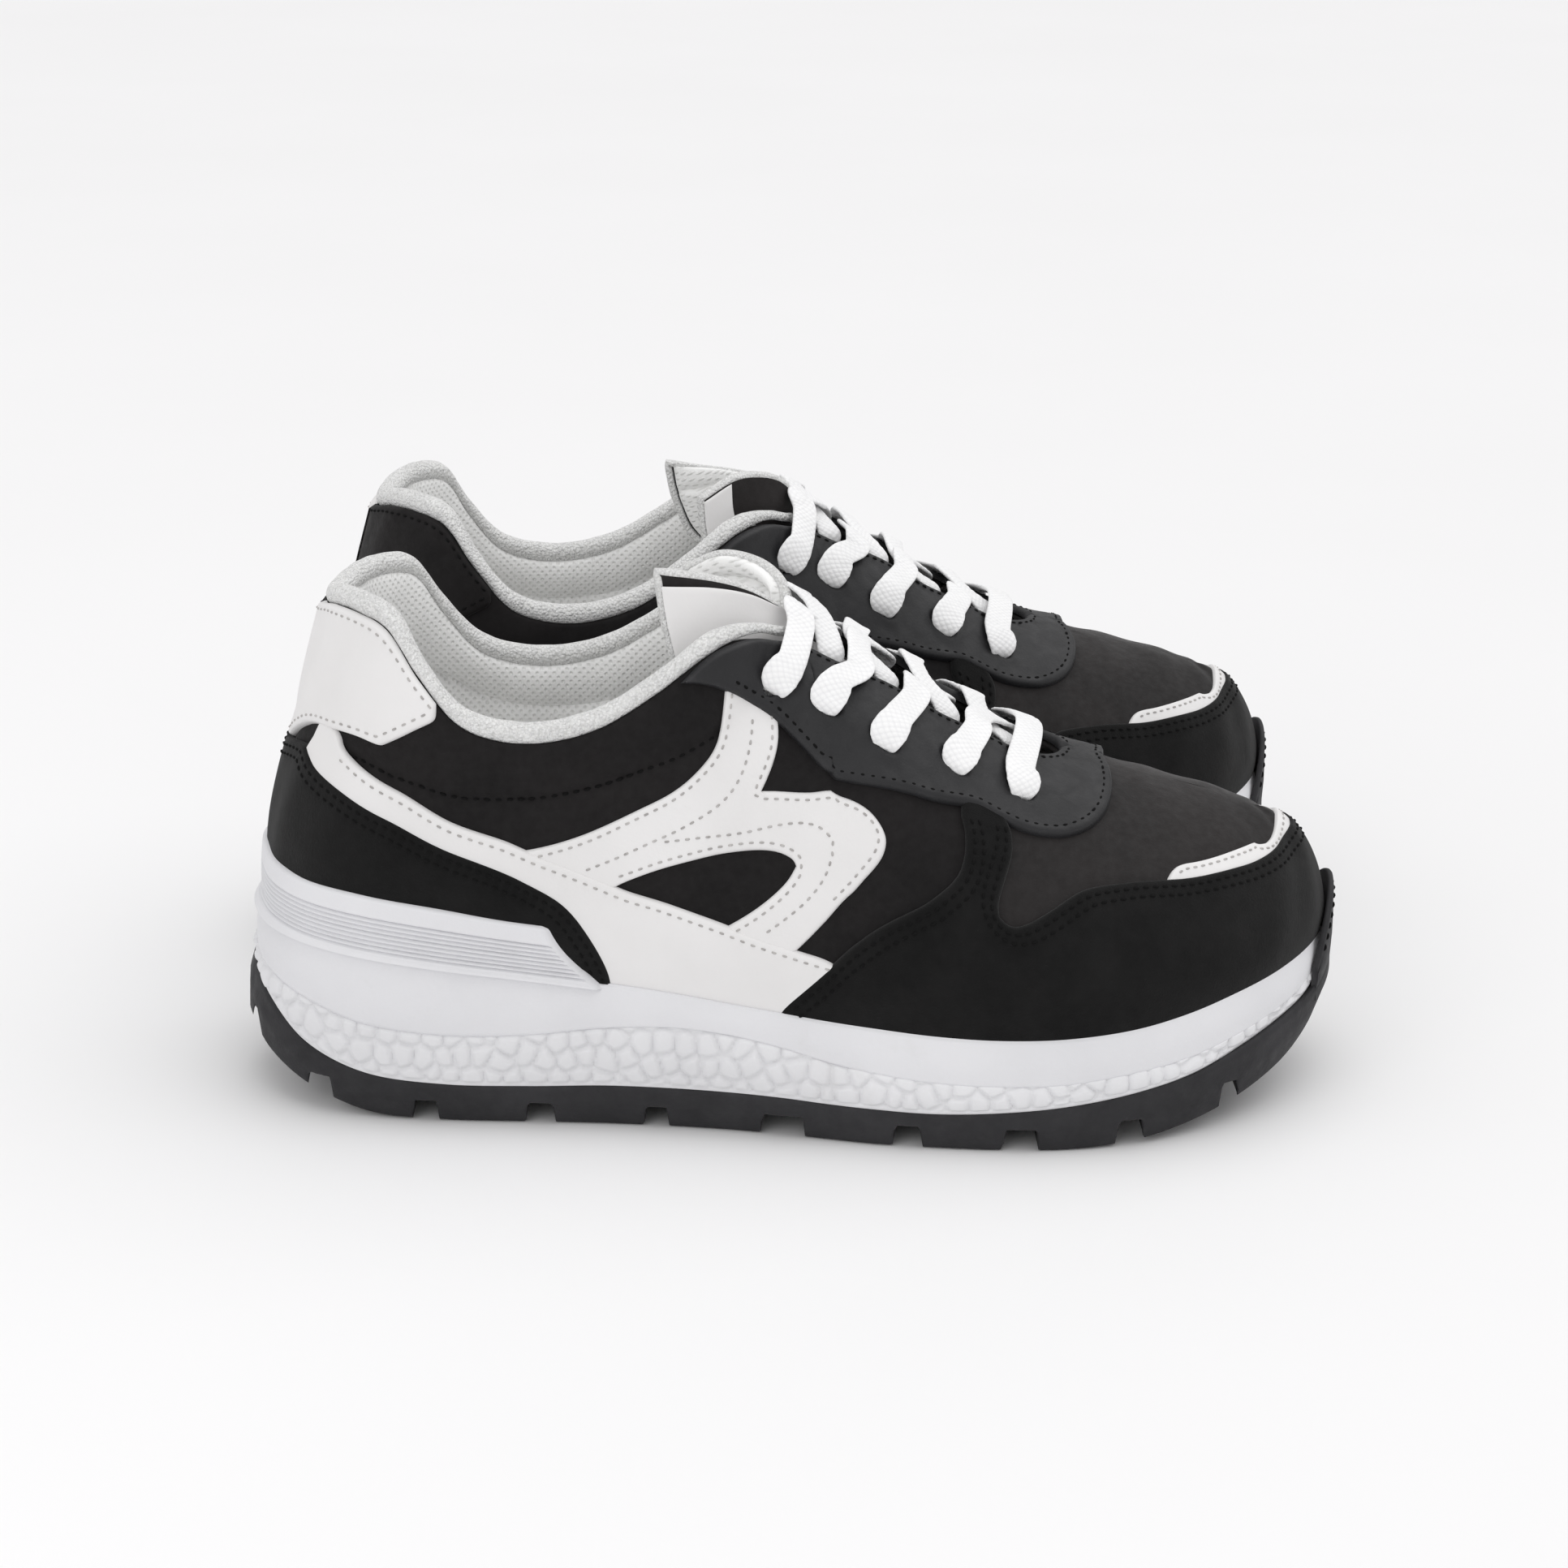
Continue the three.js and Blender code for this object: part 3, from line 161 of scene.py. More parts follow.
def relief(u, v, med):
    """Soft lift that every layer shares: the padded collar above the quilting, and slight handling waves."""
    q = np.interp(u, QUILT[:, 0], QUILT[:, 1])
    t = np.clip((v - q) / np.maximum(0.985 - q, 0.05), 0, 1)
    puff = np.where(v > q, np.sin(np.pi * np.clip(t, 0, 1)) ** 0.7, 0) * (1 - smooth(9.2, 10.4, u)) * 1.3
    s = 7 if med else 0
    wave = 0.22 * np.sin(u * 2.1 + 5.3 * v + s) * np.sin(v * 6.3 + 1.1 + s) + 0.16 * np.sin(u * 4.7 - 7.9 * v + 2 + s)
    flex = 0.35 * smooth(12.5, 14, u) * (1 - smooth(16.5, 18, u)) * np.sin(u * 6.5 + 2.5 * v) * smooth(0.45, 0.9, v)
    return puff + wave * smooth(0.0, 0.25, v) * (1 - 0.7 * smooth(0.9, 1, v)) * smooth(0, 0.6, u) * (1 - smooth(21, 22, u)) + flex * 0.5


def on(u, v, off, med):
    """Shoe-frame point (signed y) at rib coordinates, moved out by off."""
    p = upper(u, v, med) + normal(u, v, med) * np.asarray(off + relief(np.asarray(u, float), np.asarray(v, float), med))[..., None]
    if not med:
        p = p * np.array([1, -1, 1])
    return p


def metric(u, v, med):
    e = 0.02
    a = np.linalg.norm(upper(np.minimum(u + e, N), v, med) - upper(np.maximum(u - e, 0), v, med), axis=-1) / (np.minimum(u + e, N) - np.maximum(u - e, 0))
    b = np.linalg.norm(upper(u, np.minimum(v + e, 1), med) - upper(u, np.maximum(v - e, 0), med), axis=-1) / (np.minimum(v + e, 1) - np.maximum(v - e, 0))
    return np.maximum(a, 1.5), np.maximum(b, 5)


# ---------------------------------------------------------------- outlines, in rib coordinates
def cline(u0, u1, mm, step=1):
    return [[float(u), float(below(u, mm))] for u in np.arange(u0, u1 + step * 0.5, step)]


THROAT = [[10.85,0.885],[12.15,0.8],[12.9,0.8333],[13.7,0.85],[14.4,0.8667],[15.0,0.875],[15.35,0.8917],[15.6,0.925],[15.75,0.9583],[15.85,1.0]]
SEAM = [[12.646,0],[12.646,0.0263],[13.011,0.1784],[13.452,0.3081],[13.927,0.4272],[14.157,0.5411],[14.274,0.6354],[14.4,0.75],[14.45,0.868]]
UNDER = 2.9
QUARTER = [[0, 0]] + SEAM + [[13.7,0.85],[12.9,0.8333],[12.15,0.8],[10.85,0.885],[10.4,0.925],[9.9,0.955]] + cline(9.5, 0, UNDER, -0.5)
VAMP = SEAM[::-1] + [[N, 0], [N, 1], [15.85, 1], [15.75,0.9583],[15.6,0.925],[15.35,0.8917],[15.0,0.875]]
EYE_LOW = [[8.5,0.945],[9.368,0.846],[10.469,0.6866],[11.004,0.5988],[11.565,0.5171],[12.104,0.5122],[12.911,0.5458],[13.382,0.563],[14.036,0.6037],[14.25,0.5986],[14.625,0.5898],[15.037,0.5983],[15.366,0.6092],[15.755,0.6509],[16.122,0.7246],[16.4,0.826],[16.545,0.9321],[16.585,1.0]]
EYESTAY = EYE_LOW + THROAT[::-1] + [[10.4,0.925],[9.9,0.955],[9.4, float(below(9.4, UNDER))],[9.0, float(below(9.0, UNDER))]]
TAB_LOW = [[4.45,0.905],[4.3,0.86],[4.02,0.7855],[3.61,0.6768],[3.443,0.6409],[2.739,0.6059],[1.57,0.586],[0.949,0.5455],[0.4,0.5],[0,0.485]]
TAB = [[0, float(below(0, UNDER))], [1, float(below(1, UNDER))], [2, float(below(2, UNDER))], [2.9, float(below(2.9, UNDER))], [3.4, float(below(3.4, UNDER))], [3.8, float(below(3.8, UNDER))], [4.2, float(below(4.2, UNDER))], [4.42, float(below(4.42, UNDER))]] + TAB_LOW
C_TOP = [[0,0.4833],[1.648,0.5153],[1.811,0.5014],[2.399,0.4568],[3.238,0.4403],[4.464,0.4634],[5.59,0.419],[6.264,0.3293],[6.582,0.2619],[6.865,0.1502],[7.067,0.05],[7.1,0]]
COUNTER = [[0, 0]] + C_TOP
S_TOP = [[2.5,0.60],[2.716,0.5503],[3.306,0.5359],[4.349,0.5701],[5.568,0.5414],[6.053,0.4899],[7.126,0.354],[7.556,0.3003],[8.926,0.201],[10.136,0.1557],[11.161,0.1401]]
STRAP = [[1.9,0.62]] + S_TOP + [[11.4,0.10],[10.4,0],[7.0,0],[6.75,0.05],[6.5,0.1502],[6.2,0.2619],[5.9,0.3293],[5.2,0.38],[4.464,0.42],[3.238,0.40],[2.399,0.42],[1.6,0.47]]
SIDE = [[9.394,0.87],[9.247,0.7363],[9.056,0.6873],[8.699,0.6495],[8.206,0.6181],[7.336,0.596],[6.569,0.5373],[5.95,0.4901],[6.4,0.40],[7.10,0.3101],[7.183,0.3501],[7.864,0.3887],[8.76,0.4012],[9.531,0.3993],[10.067,0.3862],[10.435,0.3621],[10.488,0.3451],[10.269,0.3116],[9.67,0.258],[8.926,0.201],[9.0,0.165],[10.0,0.12],[10.136,0.1357],[11.268,0.2518],[11.727,0.2855],[12.298,0.3589],[12.503,0.4149],[12.45,0.45],[12.253,0.4759],[11.801,0.4828],[10.824,0.5],[9.937,0.5359],[10.264,0.5865],[10.503,0.6397],[10.56,0.72]]
TOE_TOP = [[9.9,0],[10.033,0.0281],[11.162,0.1418],[11.896,0.202],[12.841,0.2965],[13.114,0.3307],[13.513,0.3924],[13.706,0.4487],[13.815,0.523],[13.788,0.5683],[13.9,0.62],[14.4,0.62],[14.525,0.5822],[14.493,0.5218],[14.313,0.4461],[14.132,0.3737],[14.129,0.3398],[14.26,0.3217],[14.467,0.3309],[14.825,0.3776],[15.278,0.4447],[15.552,0.4721],[16.187,0.4993],[16.833,0.5008],[17.476,0.5106],[18.173,0.5276],[18.804,0.5514],[19.617,0.6099],[20.369,0.6891],[21.2,0.74],[N,0.76]]
TOE = TOE_TOP + [[N, 0]]


def toe_arc(u0, v0, vc, n=16):
    """A quarter ellipse over the toe in plan, from one outline point to the middle line."""
    G, H = np.meshgrid(np.linspace(18.2, N, 260), np.linspace(0.45, 1.0, 260), indexing="ij")
    Q = upper(G, H, False)
    a, b = upper(np.array(u0), np.array(v0), False), upper(np.array(float(N)), np.array(vc), False)
    out = [[float(N), vc]]
    for t in np.linspace(1, 0, n)[1:]:
        x = a[0] + (b[0] - a[0]) * math.sin(t * math.pi / 2) ** 1.15
        y = a[1] * math.cos(t * math.pi / 2)
        k = np.unravel_index(np.argmin((Q[..., 0] - x) ** 2 + (Q[..., 1] - y) ** 2), G.shape)
        out.append([float(G[k]), float(H[k])])
    return out


STRIPE_TOP = toe_arc(19.0, 0.648, 0.885) + [[18.6,0.619],[18.102,0.5896],[17.567,0.5681],[17.211,0.5601],[16.99,0.5372],[16.8,0.49]]
STRIPE = STRIPE_TOP + [[17.476,0.48],[18.173,0.49],[18.804,0.51]] + toe_arc(19.3, 0.54, 0.735)[::-1]
REAR_LINING = [[0,0.06],[9.9,0.06],[9.9,float(below(9.9,4.2))]] + cline(9.5, 0, 2.6, -0.5)
FRONT_LINING = [[9.75,0.05],[N,0.05],[N,1],[16.8,1],[16.6,0.85],[16.0,0.68],[15.4,0.585],[14.5,0.56],[13,0.56],[12,0.62],[11.4,0.70],[10.6,0.82],[10.1,0.90],[9.75,0.93]]
EYELETS = [[10.5,.785],[11.95,.68],[12.75,.65],[13.85,.70],[14.8,.715]]
MU, MV = 14.0, 75.0


def rounded(poly, closed=True, limit=52, rounds=3):
    """Corner cutting that keeps the sharp corners of an outline."""
    P = np.array(poly, float) * [MU, MV]
    for r in range(rounds):
        n = len(P)
        out = []
        for i in range(n):
            if not closed and i in (0, n - 1):
                out.append(P[i])
                continue
            a, b, c = P[i - 1], P[i], P[(i + 1) % n]
            d1, d2 = b - a, c - b
            ang = abs(math.degrees(math.atan2(d1[0] * d2[1] - d1[1] * d2[0], d1 @ d2)))
            rim = b[0] < 1e-6 or b[0] > N * MU - 1e-6 or b[1] < 1e-6 or b[1] > MV - 1e-6
            if ang > limit or rim:
                out.append(b)
            else:
                out += [b + (a - b) * 0.25, b + (c - b) * 0.25]
        P = np.array(out)
    return P / [MU, MV]


def resample(P, step, closed=True):
    Q = np.vstack([P, P[:1]]) if closed else P
    out = []
    for a, b in zip(Q[:-1], Q[1:]):
        n = max(1, int(math.ceil(np.linalg.norm((b - a) * [MU, MV]) / step)))
        out += [a + (b - a) * k / n for k in range(n)]
    if not closed:
        out.append(Q[-1])
    return np.array(out)


def inside(P, pts):
    x, y = pts[:, 0], pts[:, 1]
    r = np.zeros(len(pts), bool)
    n = len(P)
    j = n - 1
    for i in range(n):
        a, b = P[i], P[j]
        c = (a[1] > y) != (b[1] > y)
        if c.any():
            r ^= c & (x < (b[0] - a[0]) * (y - a[1]) / (b[1] - a[1] + 1e-30) + a[0])
        j = i
    return r


def seg_dist(P, pts, closed=True):
    """Distance from points to a polyline, both in flat millimetres."""
    A = P
    B = np.roll(P, -1, axis=0)
    if not closed:
        A, B = P[:-1], P[1:]
    best = np.full(len(pts), 1e9)
    for lo in range(0, len(pts), 1500):
        q = pts[lo:lo + 1500, None]
        d = (B - A)[None]
        t = np.clip(((q - A[None]) * d).sum(-1) / ((d * d).sum(-1) + 1e-12), 0, 1)
        best[lo:lo + 1500] = np.sqrt(((q - A[None] - d * t[..., None]) ** 2).sum(-1)).min(1)
    return best


def to_flat(p):
    return np.asarray(p, float) * [MU, MV]


PIECES = {}
GRID = 1.7


def panel(poly, low, high, med, r=0.75, holes=(), limit=52, round_edge=True, extra=None, hole_r=2.7):
    """Closed panel with rounded edges, draped on the upper. Returns (points, faces)."""
    P = rounded(poly, limit=limit)
    B = resample(P, 1.5)
    Bf = to_flat(B)
    area = 0.5 * np.sum(Bf[:, 0] * np.roll(Bf[:, 1], -1) - np.roll(Bf[:, 0], -1) * Bf[:, 1])
    if area < 0:
        Bf = Bf[::-1]
    loops = [Bf]
    for (u, v) in holes:
        a, b = metric(np.array(u), np.array(v), med)
        t = np.arange(18) / 18 * 2 * np.pi
        loops.append(np.stack([(u + np.cos(-t) * hole_r / a) * MU, (v + np.sin(-t) * hole_r / b) * MV], 1))
    rim_free = lambda X: (X[:, 0] > 1e-6) & (X[:, 0] < N * MU - 1e-6) & (X[:, 1] > 1e-6) & (X[:, 1] < MV - 1e-6)
    # points a little inside every edge, for the rounding, and a grid over the rest
    cand = []
    for L in loops:
        t = np.roll(L, -1, 0) - np.roll(L, 1, 0)
        t /= np.linalg.norm(t, axis=1, keepdims=True) + 1e-9
        n = np.stack([-t[:, 1], t[:, 0]], 1)
        for e in (0.28, 0.75, 1.5):
            cand.append((L + n * e, 0.86 * e))
    lo, hi = Bf.min(0), Bf.max(0)
    gx = np.arange(lo[0] + GRID / 2, hi[0], GRID)
    gy = np.arange(lo[1] + GRID / 2, hi[1], GRID)
    G = np.stack(np.meshgrid(gx, gy, indexing="ij"), -1).reshape(-1, 2)
    G = G + np.stack([np.where((np.arange(len(G)) % len(gy)) % 2, GRID * .25, -GRID * .25), np.zeros(len(G))], 1)
    cand.append((G, 2.1))
    every = np.vstack([np.vstack([L, L[:1]]) for L in loops])
    keep = []
    for X, dmin in cand:
        X = X[inside(Bf, X)]
        for H in loops[1:]:
            X = X[~inside(H, X)]
        if len(X):
            d = np.min([seg_dist(L, X) for L in loops], axis=0)
            keep.append(X[d > dmin])
    # where the outline runs along the border of the rib field there is no edge, only a join
    pts = np.vstack(loops + keep)
    edges = []
    s = 0
    for L in loops:
        n = len(L)
        edges += [(s + i, s + (i + 1) % n) for i in range(n)]
        s += n
    vo, eo, fo, ov, oe, of = delaunay_2d_cdt([Vector(p) for p in pts], edges, [], 1 if len(loops) == 1 else 0, 1e-4)
    V2 = np.array([tuple(v) for v in vo])
    F = np.array([f for f in fo if len(f) == 3], int)
    cen = V2[F].mean(1)
    ok = inside(Bf, cen)
    for H in loops[1:]:
        ok &= ~inside(H, cen)
    F = F[ok]
    cross = (V2[F[:, 1]] - V2[F[:, 0]])
    w = V2[F[:, 2]] - V2[F[:, 0]]
    ar = cross[:, 0] * w[:, 1] - cross[:, 1] * w[:, 0]
    F[ar < 0] = F[ar < 0][:, ::-1]
    F = F[np.abs(ar) > 1e-7]
    used = np.unique(F)
    remap = -np.ones(len(V2), int)
    remap[used] = np.arange(len(used))
    V2, F = V2[used], remap[F]
    # distance to a real edge: parts of the outline on the field's border do not count
    d = np.full(len(V2), 99.0)
    for k, L in enumerate(loops):
        A, Bn = L, np.roll(L, -1, 0)
        real = ~(((A[:, 0] < 1e-6) & (Bn[:, 0] < 1e-6)) | ((A[:, 0] > N * MU - 1e-6) & (Bn[:, 0] > N * MU - 1e-6)) | ((A[:, 1] > MV - 1e-6) & (Bn[:, 1] > MV - 1e-6)) | ((A[:, 1] < 1e-6) & (Bn[:, 1] < 1e-6)))
        if real.any():
            A2, B2 = A[real], Bn[real]
            for q0 in range(0, len(V2), 1500):
                q = V2[q0:q0 + 1500, None]
                dd = (B2 - A2)[None]
                tt = np.clip(((q - A2[None]) * dd).sum(-1) / ((dd * dd).sum(-1) + 1e-12), 0, 1)
                d[q0:q0 + 1500] = np.minimum(d[q0:q0 + 1500], np.sqrt(((q - A2[None] - dd * tt[..., None]) ** 2).sum(-1)).min(1))
    uu, vv = V2[:, 0] / MU, V2[:, 1] / MV
    x = np.clip(1 - d / r, 0, 1)
    prof = np.sqrt(np.clip(1 - x * x, 0, 1)) if round_edge else np.ones_like(d)
    hgt = low + (high - low) * (0.25 + 0.75 * prof)
    if extra is not None:
        hgt = hgt + extra(uu, vv, d)
    top, bot = on(uu, vv, hgt, med), on(uu, vv, np.full(len(uu), low), med)
    n = len(uu)
    e = np.sort(np.vstack([F[:, [0, 1]], F[:, [1, 2]], F[:, [2, 0]]]), 1)
    key = e[:, 0] * n + e[:, 1]
    uk, cnt = np.unique(key, return_counts=True)
    rim = set(uk[cnt == 1].tolist())
    walls = []
    for a, b in np.vstack([F[:, [0, 1]], F[:, [1, 2]], F[:, [2, 0]]]):
        if (min(a, b) * n + max(a, b)) in rim:
            if (abs(V2[a, 0]) < 1e-6 and abs(V2[b, 0]) < 1e-6) or (V2[a, 0] > N * MU - 1e-6 and V2[b, 0] > N * MU - 1e-6) or (V2[a, 1] > MV - 1e-6 and V2[b, 1] > MV - 1e-6):
                continue
            walls += [(b, a, a + n), (b, a + n, b + n)]
    faces = np.vstack([F, F[:, ::-1] + n, np.array(walls, int).reshape(-1, 3)])
    if (NS > 0) == (not med):
        faces = faces[:, ::-1]
    return np.vstack([top, bot]), faces


def merged(*parts):
    V, F, s = [], [], 0
    for v, f in parts:
        V.append(v)
        F += [tuple(int(i) + s for i in q) for q in f]
        s += len(v)
    return np.vstack(V), F


def put(name, part, mat, slot, body, nodes=(), flat=False, fill=None, weld=0.02, uv=None):
    PIECES[name] = dict(uv=uv, v=np.asarray(part[0], float), f=[tuple(map(int, q)) for q in part[1]], mat=mat, slot=slot, body=body, nodes=nodes, flat=flat, fill=fill, weld=weld)


def both(poly, low, high, **k):
    return merged(panel(poly, low, high, False, **k), panel(poly, low, high, True, **k))


# ---------------------------------------------------------------- stitches
def inset(P, d, med, side=1):
    """A line moved sideways by d real millimetres, in rib coordinates."""
    a, b = metric(P[:, 0], P[:, 1], med)
    t = np.gradient(P, axis=0) * np.stack([a, b], 1)
    t /= np.linalg.norm(t, axis=1, keepdims=True) + 1e-9
    n = np.stack([-t[:, 1], t[:, 0]], 1) * side
    Q = P + n * d / np.stack([a, b], 1)
    # drop the places where the shifted line turns back on itself
    keep = [0]
    for i in range(1, len(Q)):
        if (Q[i] - Q[keep[-1]]) @ (P[min(i + 1, len(P) - 1)] - P[max(i - 1, 0)]) > 0:
            keep.append(i)
    return np.clip(Q[keep], [0, 0], [N, 0.999])


RAD = 0.28


def capsules(P3, N3, pitch=2.9, length=2.15, rad=RAD, sink=0.12):
    """Thread stitches along a 3D line with its surface normals."""
    d = np.r_[0, np.cumsum(np.linalg.norm(np.diff(P3, axis=0), axis=1))]
    n = int(d[-1] // pitch)
    V, F = [], []
    if n < 1:
        return np.zeros((0, 3)), []
    for k in range(n):
        s0 = (k + 0.5) * pitch + (d[-1] - n * pitch) / 2
        ts = np.array([s0 - length / 2, s0 - length * .3, s0, s0 + length * .3, s0 + length / 2])
        C = np.stack([np.interp(ts, d, P3[:, q]) for q in range(3)], 1)
        M = np.stack([np.interp(ts, d, N3[:, q]) for q in range(3)], 1)
        M /= np.linalg.norm(M, axis=1, keepdims=True) + 1e-9
        t = C[-1] - C[0]
        t /= np.linalg.norm(t) + 1e-9
        b = np.cross(t, M[2])
        b /= np.linalg.norm(b) + 1e-9
        m = M[2]
        lift = np.array([-0.42, -0.06, 0.1, -0.06, -0.42]) * 1.0 - sink + rad * .6
        size = np.array([0.45, 0.92, 1.0, 0.92, 0.45]) * rad
        base = len(V)
        for j in range(5):
            for a in range(6):
                th = a / 6 * 2 * math.pi
                V.append(C[j] + m * (lift[j] + math.sin(th) * size[j]) + b * math.cos(th) * size[j] * 1.15)
        for j in range(4):
            for a in range(6):
                p, q = base + j * 6 + a, base + j * 6 + (a + 1) % 6
                F.append((p, q, q + 6, p + 6))
        F.append(tuple(base + a for a in range(5, -1, -1)))
        F.append(tuple(base + 24 + a for a in range(6)))
    return np.array(V), F


STITCH = {}


def stitch(colour, line, d, off, med, side=1, pitch=2.9, length=None, rad=None, lim=60, sink=None):
    white = colour.endswith("white")
    length = length or (1.65 if white else 1.85)
    rad = rad or (0.25 if white else 0.29)
    sink = (0.14 if white else 0.08) if sink is None else sink
    pitch = pitch * 0.92
    P = rounded(line, closed=False, limit=lim)
    P = resample(P, 1.0, closed=False)
    Q = inset(P, d, med, side) if d else P
    u, v = Q[:, 0], Q[:, 1]
    P3 = on(u, v, np.full(len(u), off), med)
    N3 = normal(u, v, med)
    if not med:
        N3 = N3 * [1, -1, 1]
    STITCH.setdefault(colour, []).append(capsules(P3, N3, pitch, length, rad, sink))


# ---------------------------------------------------------------- upper pieces
def quilting(u, v, d):
    """The quilting draws the softshell in along its row of stitches."""
    q = np.interp(u, QUILT[:, 0], QUILT[:, 1])
    a = 80.0
    g = np.abs(v - q) * a
    on_ = smooth(2.2, 2.9, u) * (1 - smooth(9.2, 9.8, u))
    pull = 0.5 + 0.5 * np.cos(u * 14 * 2 * np.pi / 2.9)
    return -0.75 * np.exp(-(g / 1.3) ** 2) * on_ - 0.18 * np.exp(-(g / 4.5) ** 2) * pull * on_


def seam_dip(u, v, d):
    q = np.interp(v, [s[1] for s in SEAM], [s[0] for s in SEAM])
    return -0.35 * np.exp(-((u - q) * 14 / 0.9) ** 2)


for tag, med in (("lateral", False), ("medial", True)):
    put(f"quarter_{tag}", panel(QUARTER, -1.4, 0, med, holes=EYELETS[:4], extra=quilting, r=0.9), "softshell", "softshell_black", "shoe", (f"quarter_{tag}",))
    put(f"saddle_strap_{tag}", panel(STRAP, 0.0, 1.55, med, r=0.8), "leather_white", "leather_white", "shoe", (f"saddle_strap_{tag}",))
    put(f"side_overlay_{tag}", panel(SIDE, 0.0, 1.15, med, r=0.7), "leather_white", "leather_white", "shoe", (f"side_overlay_{tag}",))
    put(f"heel_tab_{tag}", panel(TAB, 0.0, 2.0 if not med else 1.5, med, r=0.9), "leather_white" if not med else "softshell", "leather_white" if not med else "leather_black", "shoe", (f"heel_tab_{tag}",))
put("vamp", both(VAMP, -1.4, 0.15, extra=seam_dip, holes=[EYELETS[4]]), "softshell_brown", "softshell_black", "shoe", ("vamp",))
put("toe_overlay", both(TOE, 0.1, 1.9, r=0.8), "suede", "suede_black", "shoe", ("toe_overlay",))
put("toe_stripe", both(STRIPE, 0.0, 1.25, r=0.7), "leather_white", "leather_white", "shoe", ("toe_stripe",))
put("eyestay", both(EYESTAY, 0.1, 2.1, r=1.1, holes=EYELETS, extra=lambda u, v, d: 0.25 * np.exp(-((d - 1.0) / 0.7) ** 2) - 0.3 * np.exp(-((d - 2.3) / 0.6) ** 2)), "leather_black", "leather_black", "shoe", ("eyestay",))
put("heel_counter_overlay", both(COUNTER, 0.1, 2.15, r=0.9), "suede", "suede_black", "shoe", ("heel_counter_overlay",))


def rear_pad(u, v, d):
    """Foam pad of the collar lining: full below the roll, drawn in at the sewn line, flatter beneath."""
    line = 0.60 + 0.16 * smooth(2.2, 5.0, u)
    t = np.clip((v - line) / (0.97 - line), 0, 1)
    puff = 2.6 * np.sin(np.pi * t ** 1.15) ** 0.7
    groove = -1.1 * np.exp(-((v - line) * 80 / 0.9) ** 2)
    return -(np.where(v > line, puff, 0.0) + groove) * 1.0


def lining(poly, outer, inner, med, extra=None, **k):
    """A panel whose finished face looks into the shoe."""
    V, F = panel(poly, outer, inner, med, extra=extra, **k)
    return V, F[:, ::-1]


# the inner face is the detailed one, so low is the outer side here
put("collar_lining", merged(*[lining(REAR_LINING, -1.6, -4.3, m, extra=rear_pad, r=0.9) for m in (False, True)]), "mesh", "mesh_white", "shoe", ("collar_lining",), fill=0.7)


def wall_flat(V):
    """Flat pattern of a wall: distance round the shoe from the heel, and height."""
    w, total = even_w(0.8)
    ring = ring_at(w, 0 * w, 0 * w)[:, :2]
    d = np.linspace(0, total, len(w), endpoint=False)
    d = np.where(d > total / 2, d - total, d)
    out = np.zeros((len(V), 2))
    for i in range(0, len(V), 4000):
        q = V[i:i + 4000, :2]
        j = np.argmin(((q[:, None] - ring[None]) ** 2).sum(-1), 1)
        t = ring[(j + 1) % len(w)] - ring[j - 1]
        t /= np.linalg.norm(t, axis=1, keepdims=True)
        out[i:i + 4000, 0] = d[j] + ((q - ring[j]) * t).sum(1)
    out[:, 1] = V[:, 2]
    return out


put("vamp_lining", merged(*[lining(FRONT_LINING, -1.6, -2.4, m, r=0.7) for m in (False, True)]), "mesh", "mesh_white", "shoe", ("vamp_lining",))

# sewing on the upper, each row where the shoe shows one
for med in (False, True):
    W, K = "thread_white", "thread_black"
    stitch(K, QUILT[2:-1].tolist(), 0, -0.5, med, pitch=2.9)
    stitch(K, EYE_LOW[1:], 2.3, 1.9, med, side=1, pitch=2.7)
    stitch(K, THROAT, 2.0, 2.05, med, side=-1 if NS else 1, pitch=2.6)
    stitch(W, S_TOP[1:], 2.0, 1.55, med, side=-1, pitch=2.9)
    stitch(K, C_TOP, 2.0, 2.15, med, side=-1, pitch=2.7)
    stitch(K, C_TOP, 4.2, 2.15, med, side=-1, pitch=2.7)
    stitch(K, TOE_TOP[1:10], 2.0, 1.9, med, side=-1, pitch=2.7)
    stitch(K, TOE_TOP[1:10], 4.2, 1.9, med, side=-1, pitch=2.7)
    stitch(K, TOE_TOP[12:], 2.0, 1.9, med, side=-1, pitch=2.7)
    stitch(K, TOE_TOP[12:], 4.2, 1.9, med, side=-1, pitch=2.7)
    stitch(W, STRIPE_TOP[:-1], 1.6, 1.25, med, side=1, pitch=2.4)
    stitch(W if not med else K, TAB_LOW, 1.9, 2.0 if not med else 1.5, med, side=-1, pitch=2.9)
    stitch(W if not med else K, [p for p in TAB[:8]], 1.6, 2.0 if not med else 1.5, med, side=-1, pitch=2.9)
    # side overlay: the outer border both ways, and a middle row that follows the loop
    stitch(W, SIDE[0:8], 1.8, 1.15, med, side=1, pitch=2.7)
    stitch(W, SIDE[23:35], 1.8, 1.15, med, side=1, pitch=2.7)
    stitch(W, SIDE[10:20], 1.8, 1.15, med, side=1, pitch=2.7)
    stitch(W, [[9.95,0.74],[9.83,0.66],[9.5,0.58],[9.0,0.53],[8.3,0.50],[7.6,0.475],[6.95,0.43],[6.72,0.405]], 0, 1.15, med, pitch=2.7)
    stitch(W, [[7.9,0.475],[9.2,0.445],[10.3,0.445],[11.1,0.43],[11.45,0.39],[11.3,0.34],[10.8,0.28],[10.0,0.215],[9.62,0.185]], 0, 1.15, med, pitch=2.7)
    # seam between quarter and vamp
    stitch(K, SEAM[4:], 1.5, 0.15, med, side=-1, pitch=2.7)

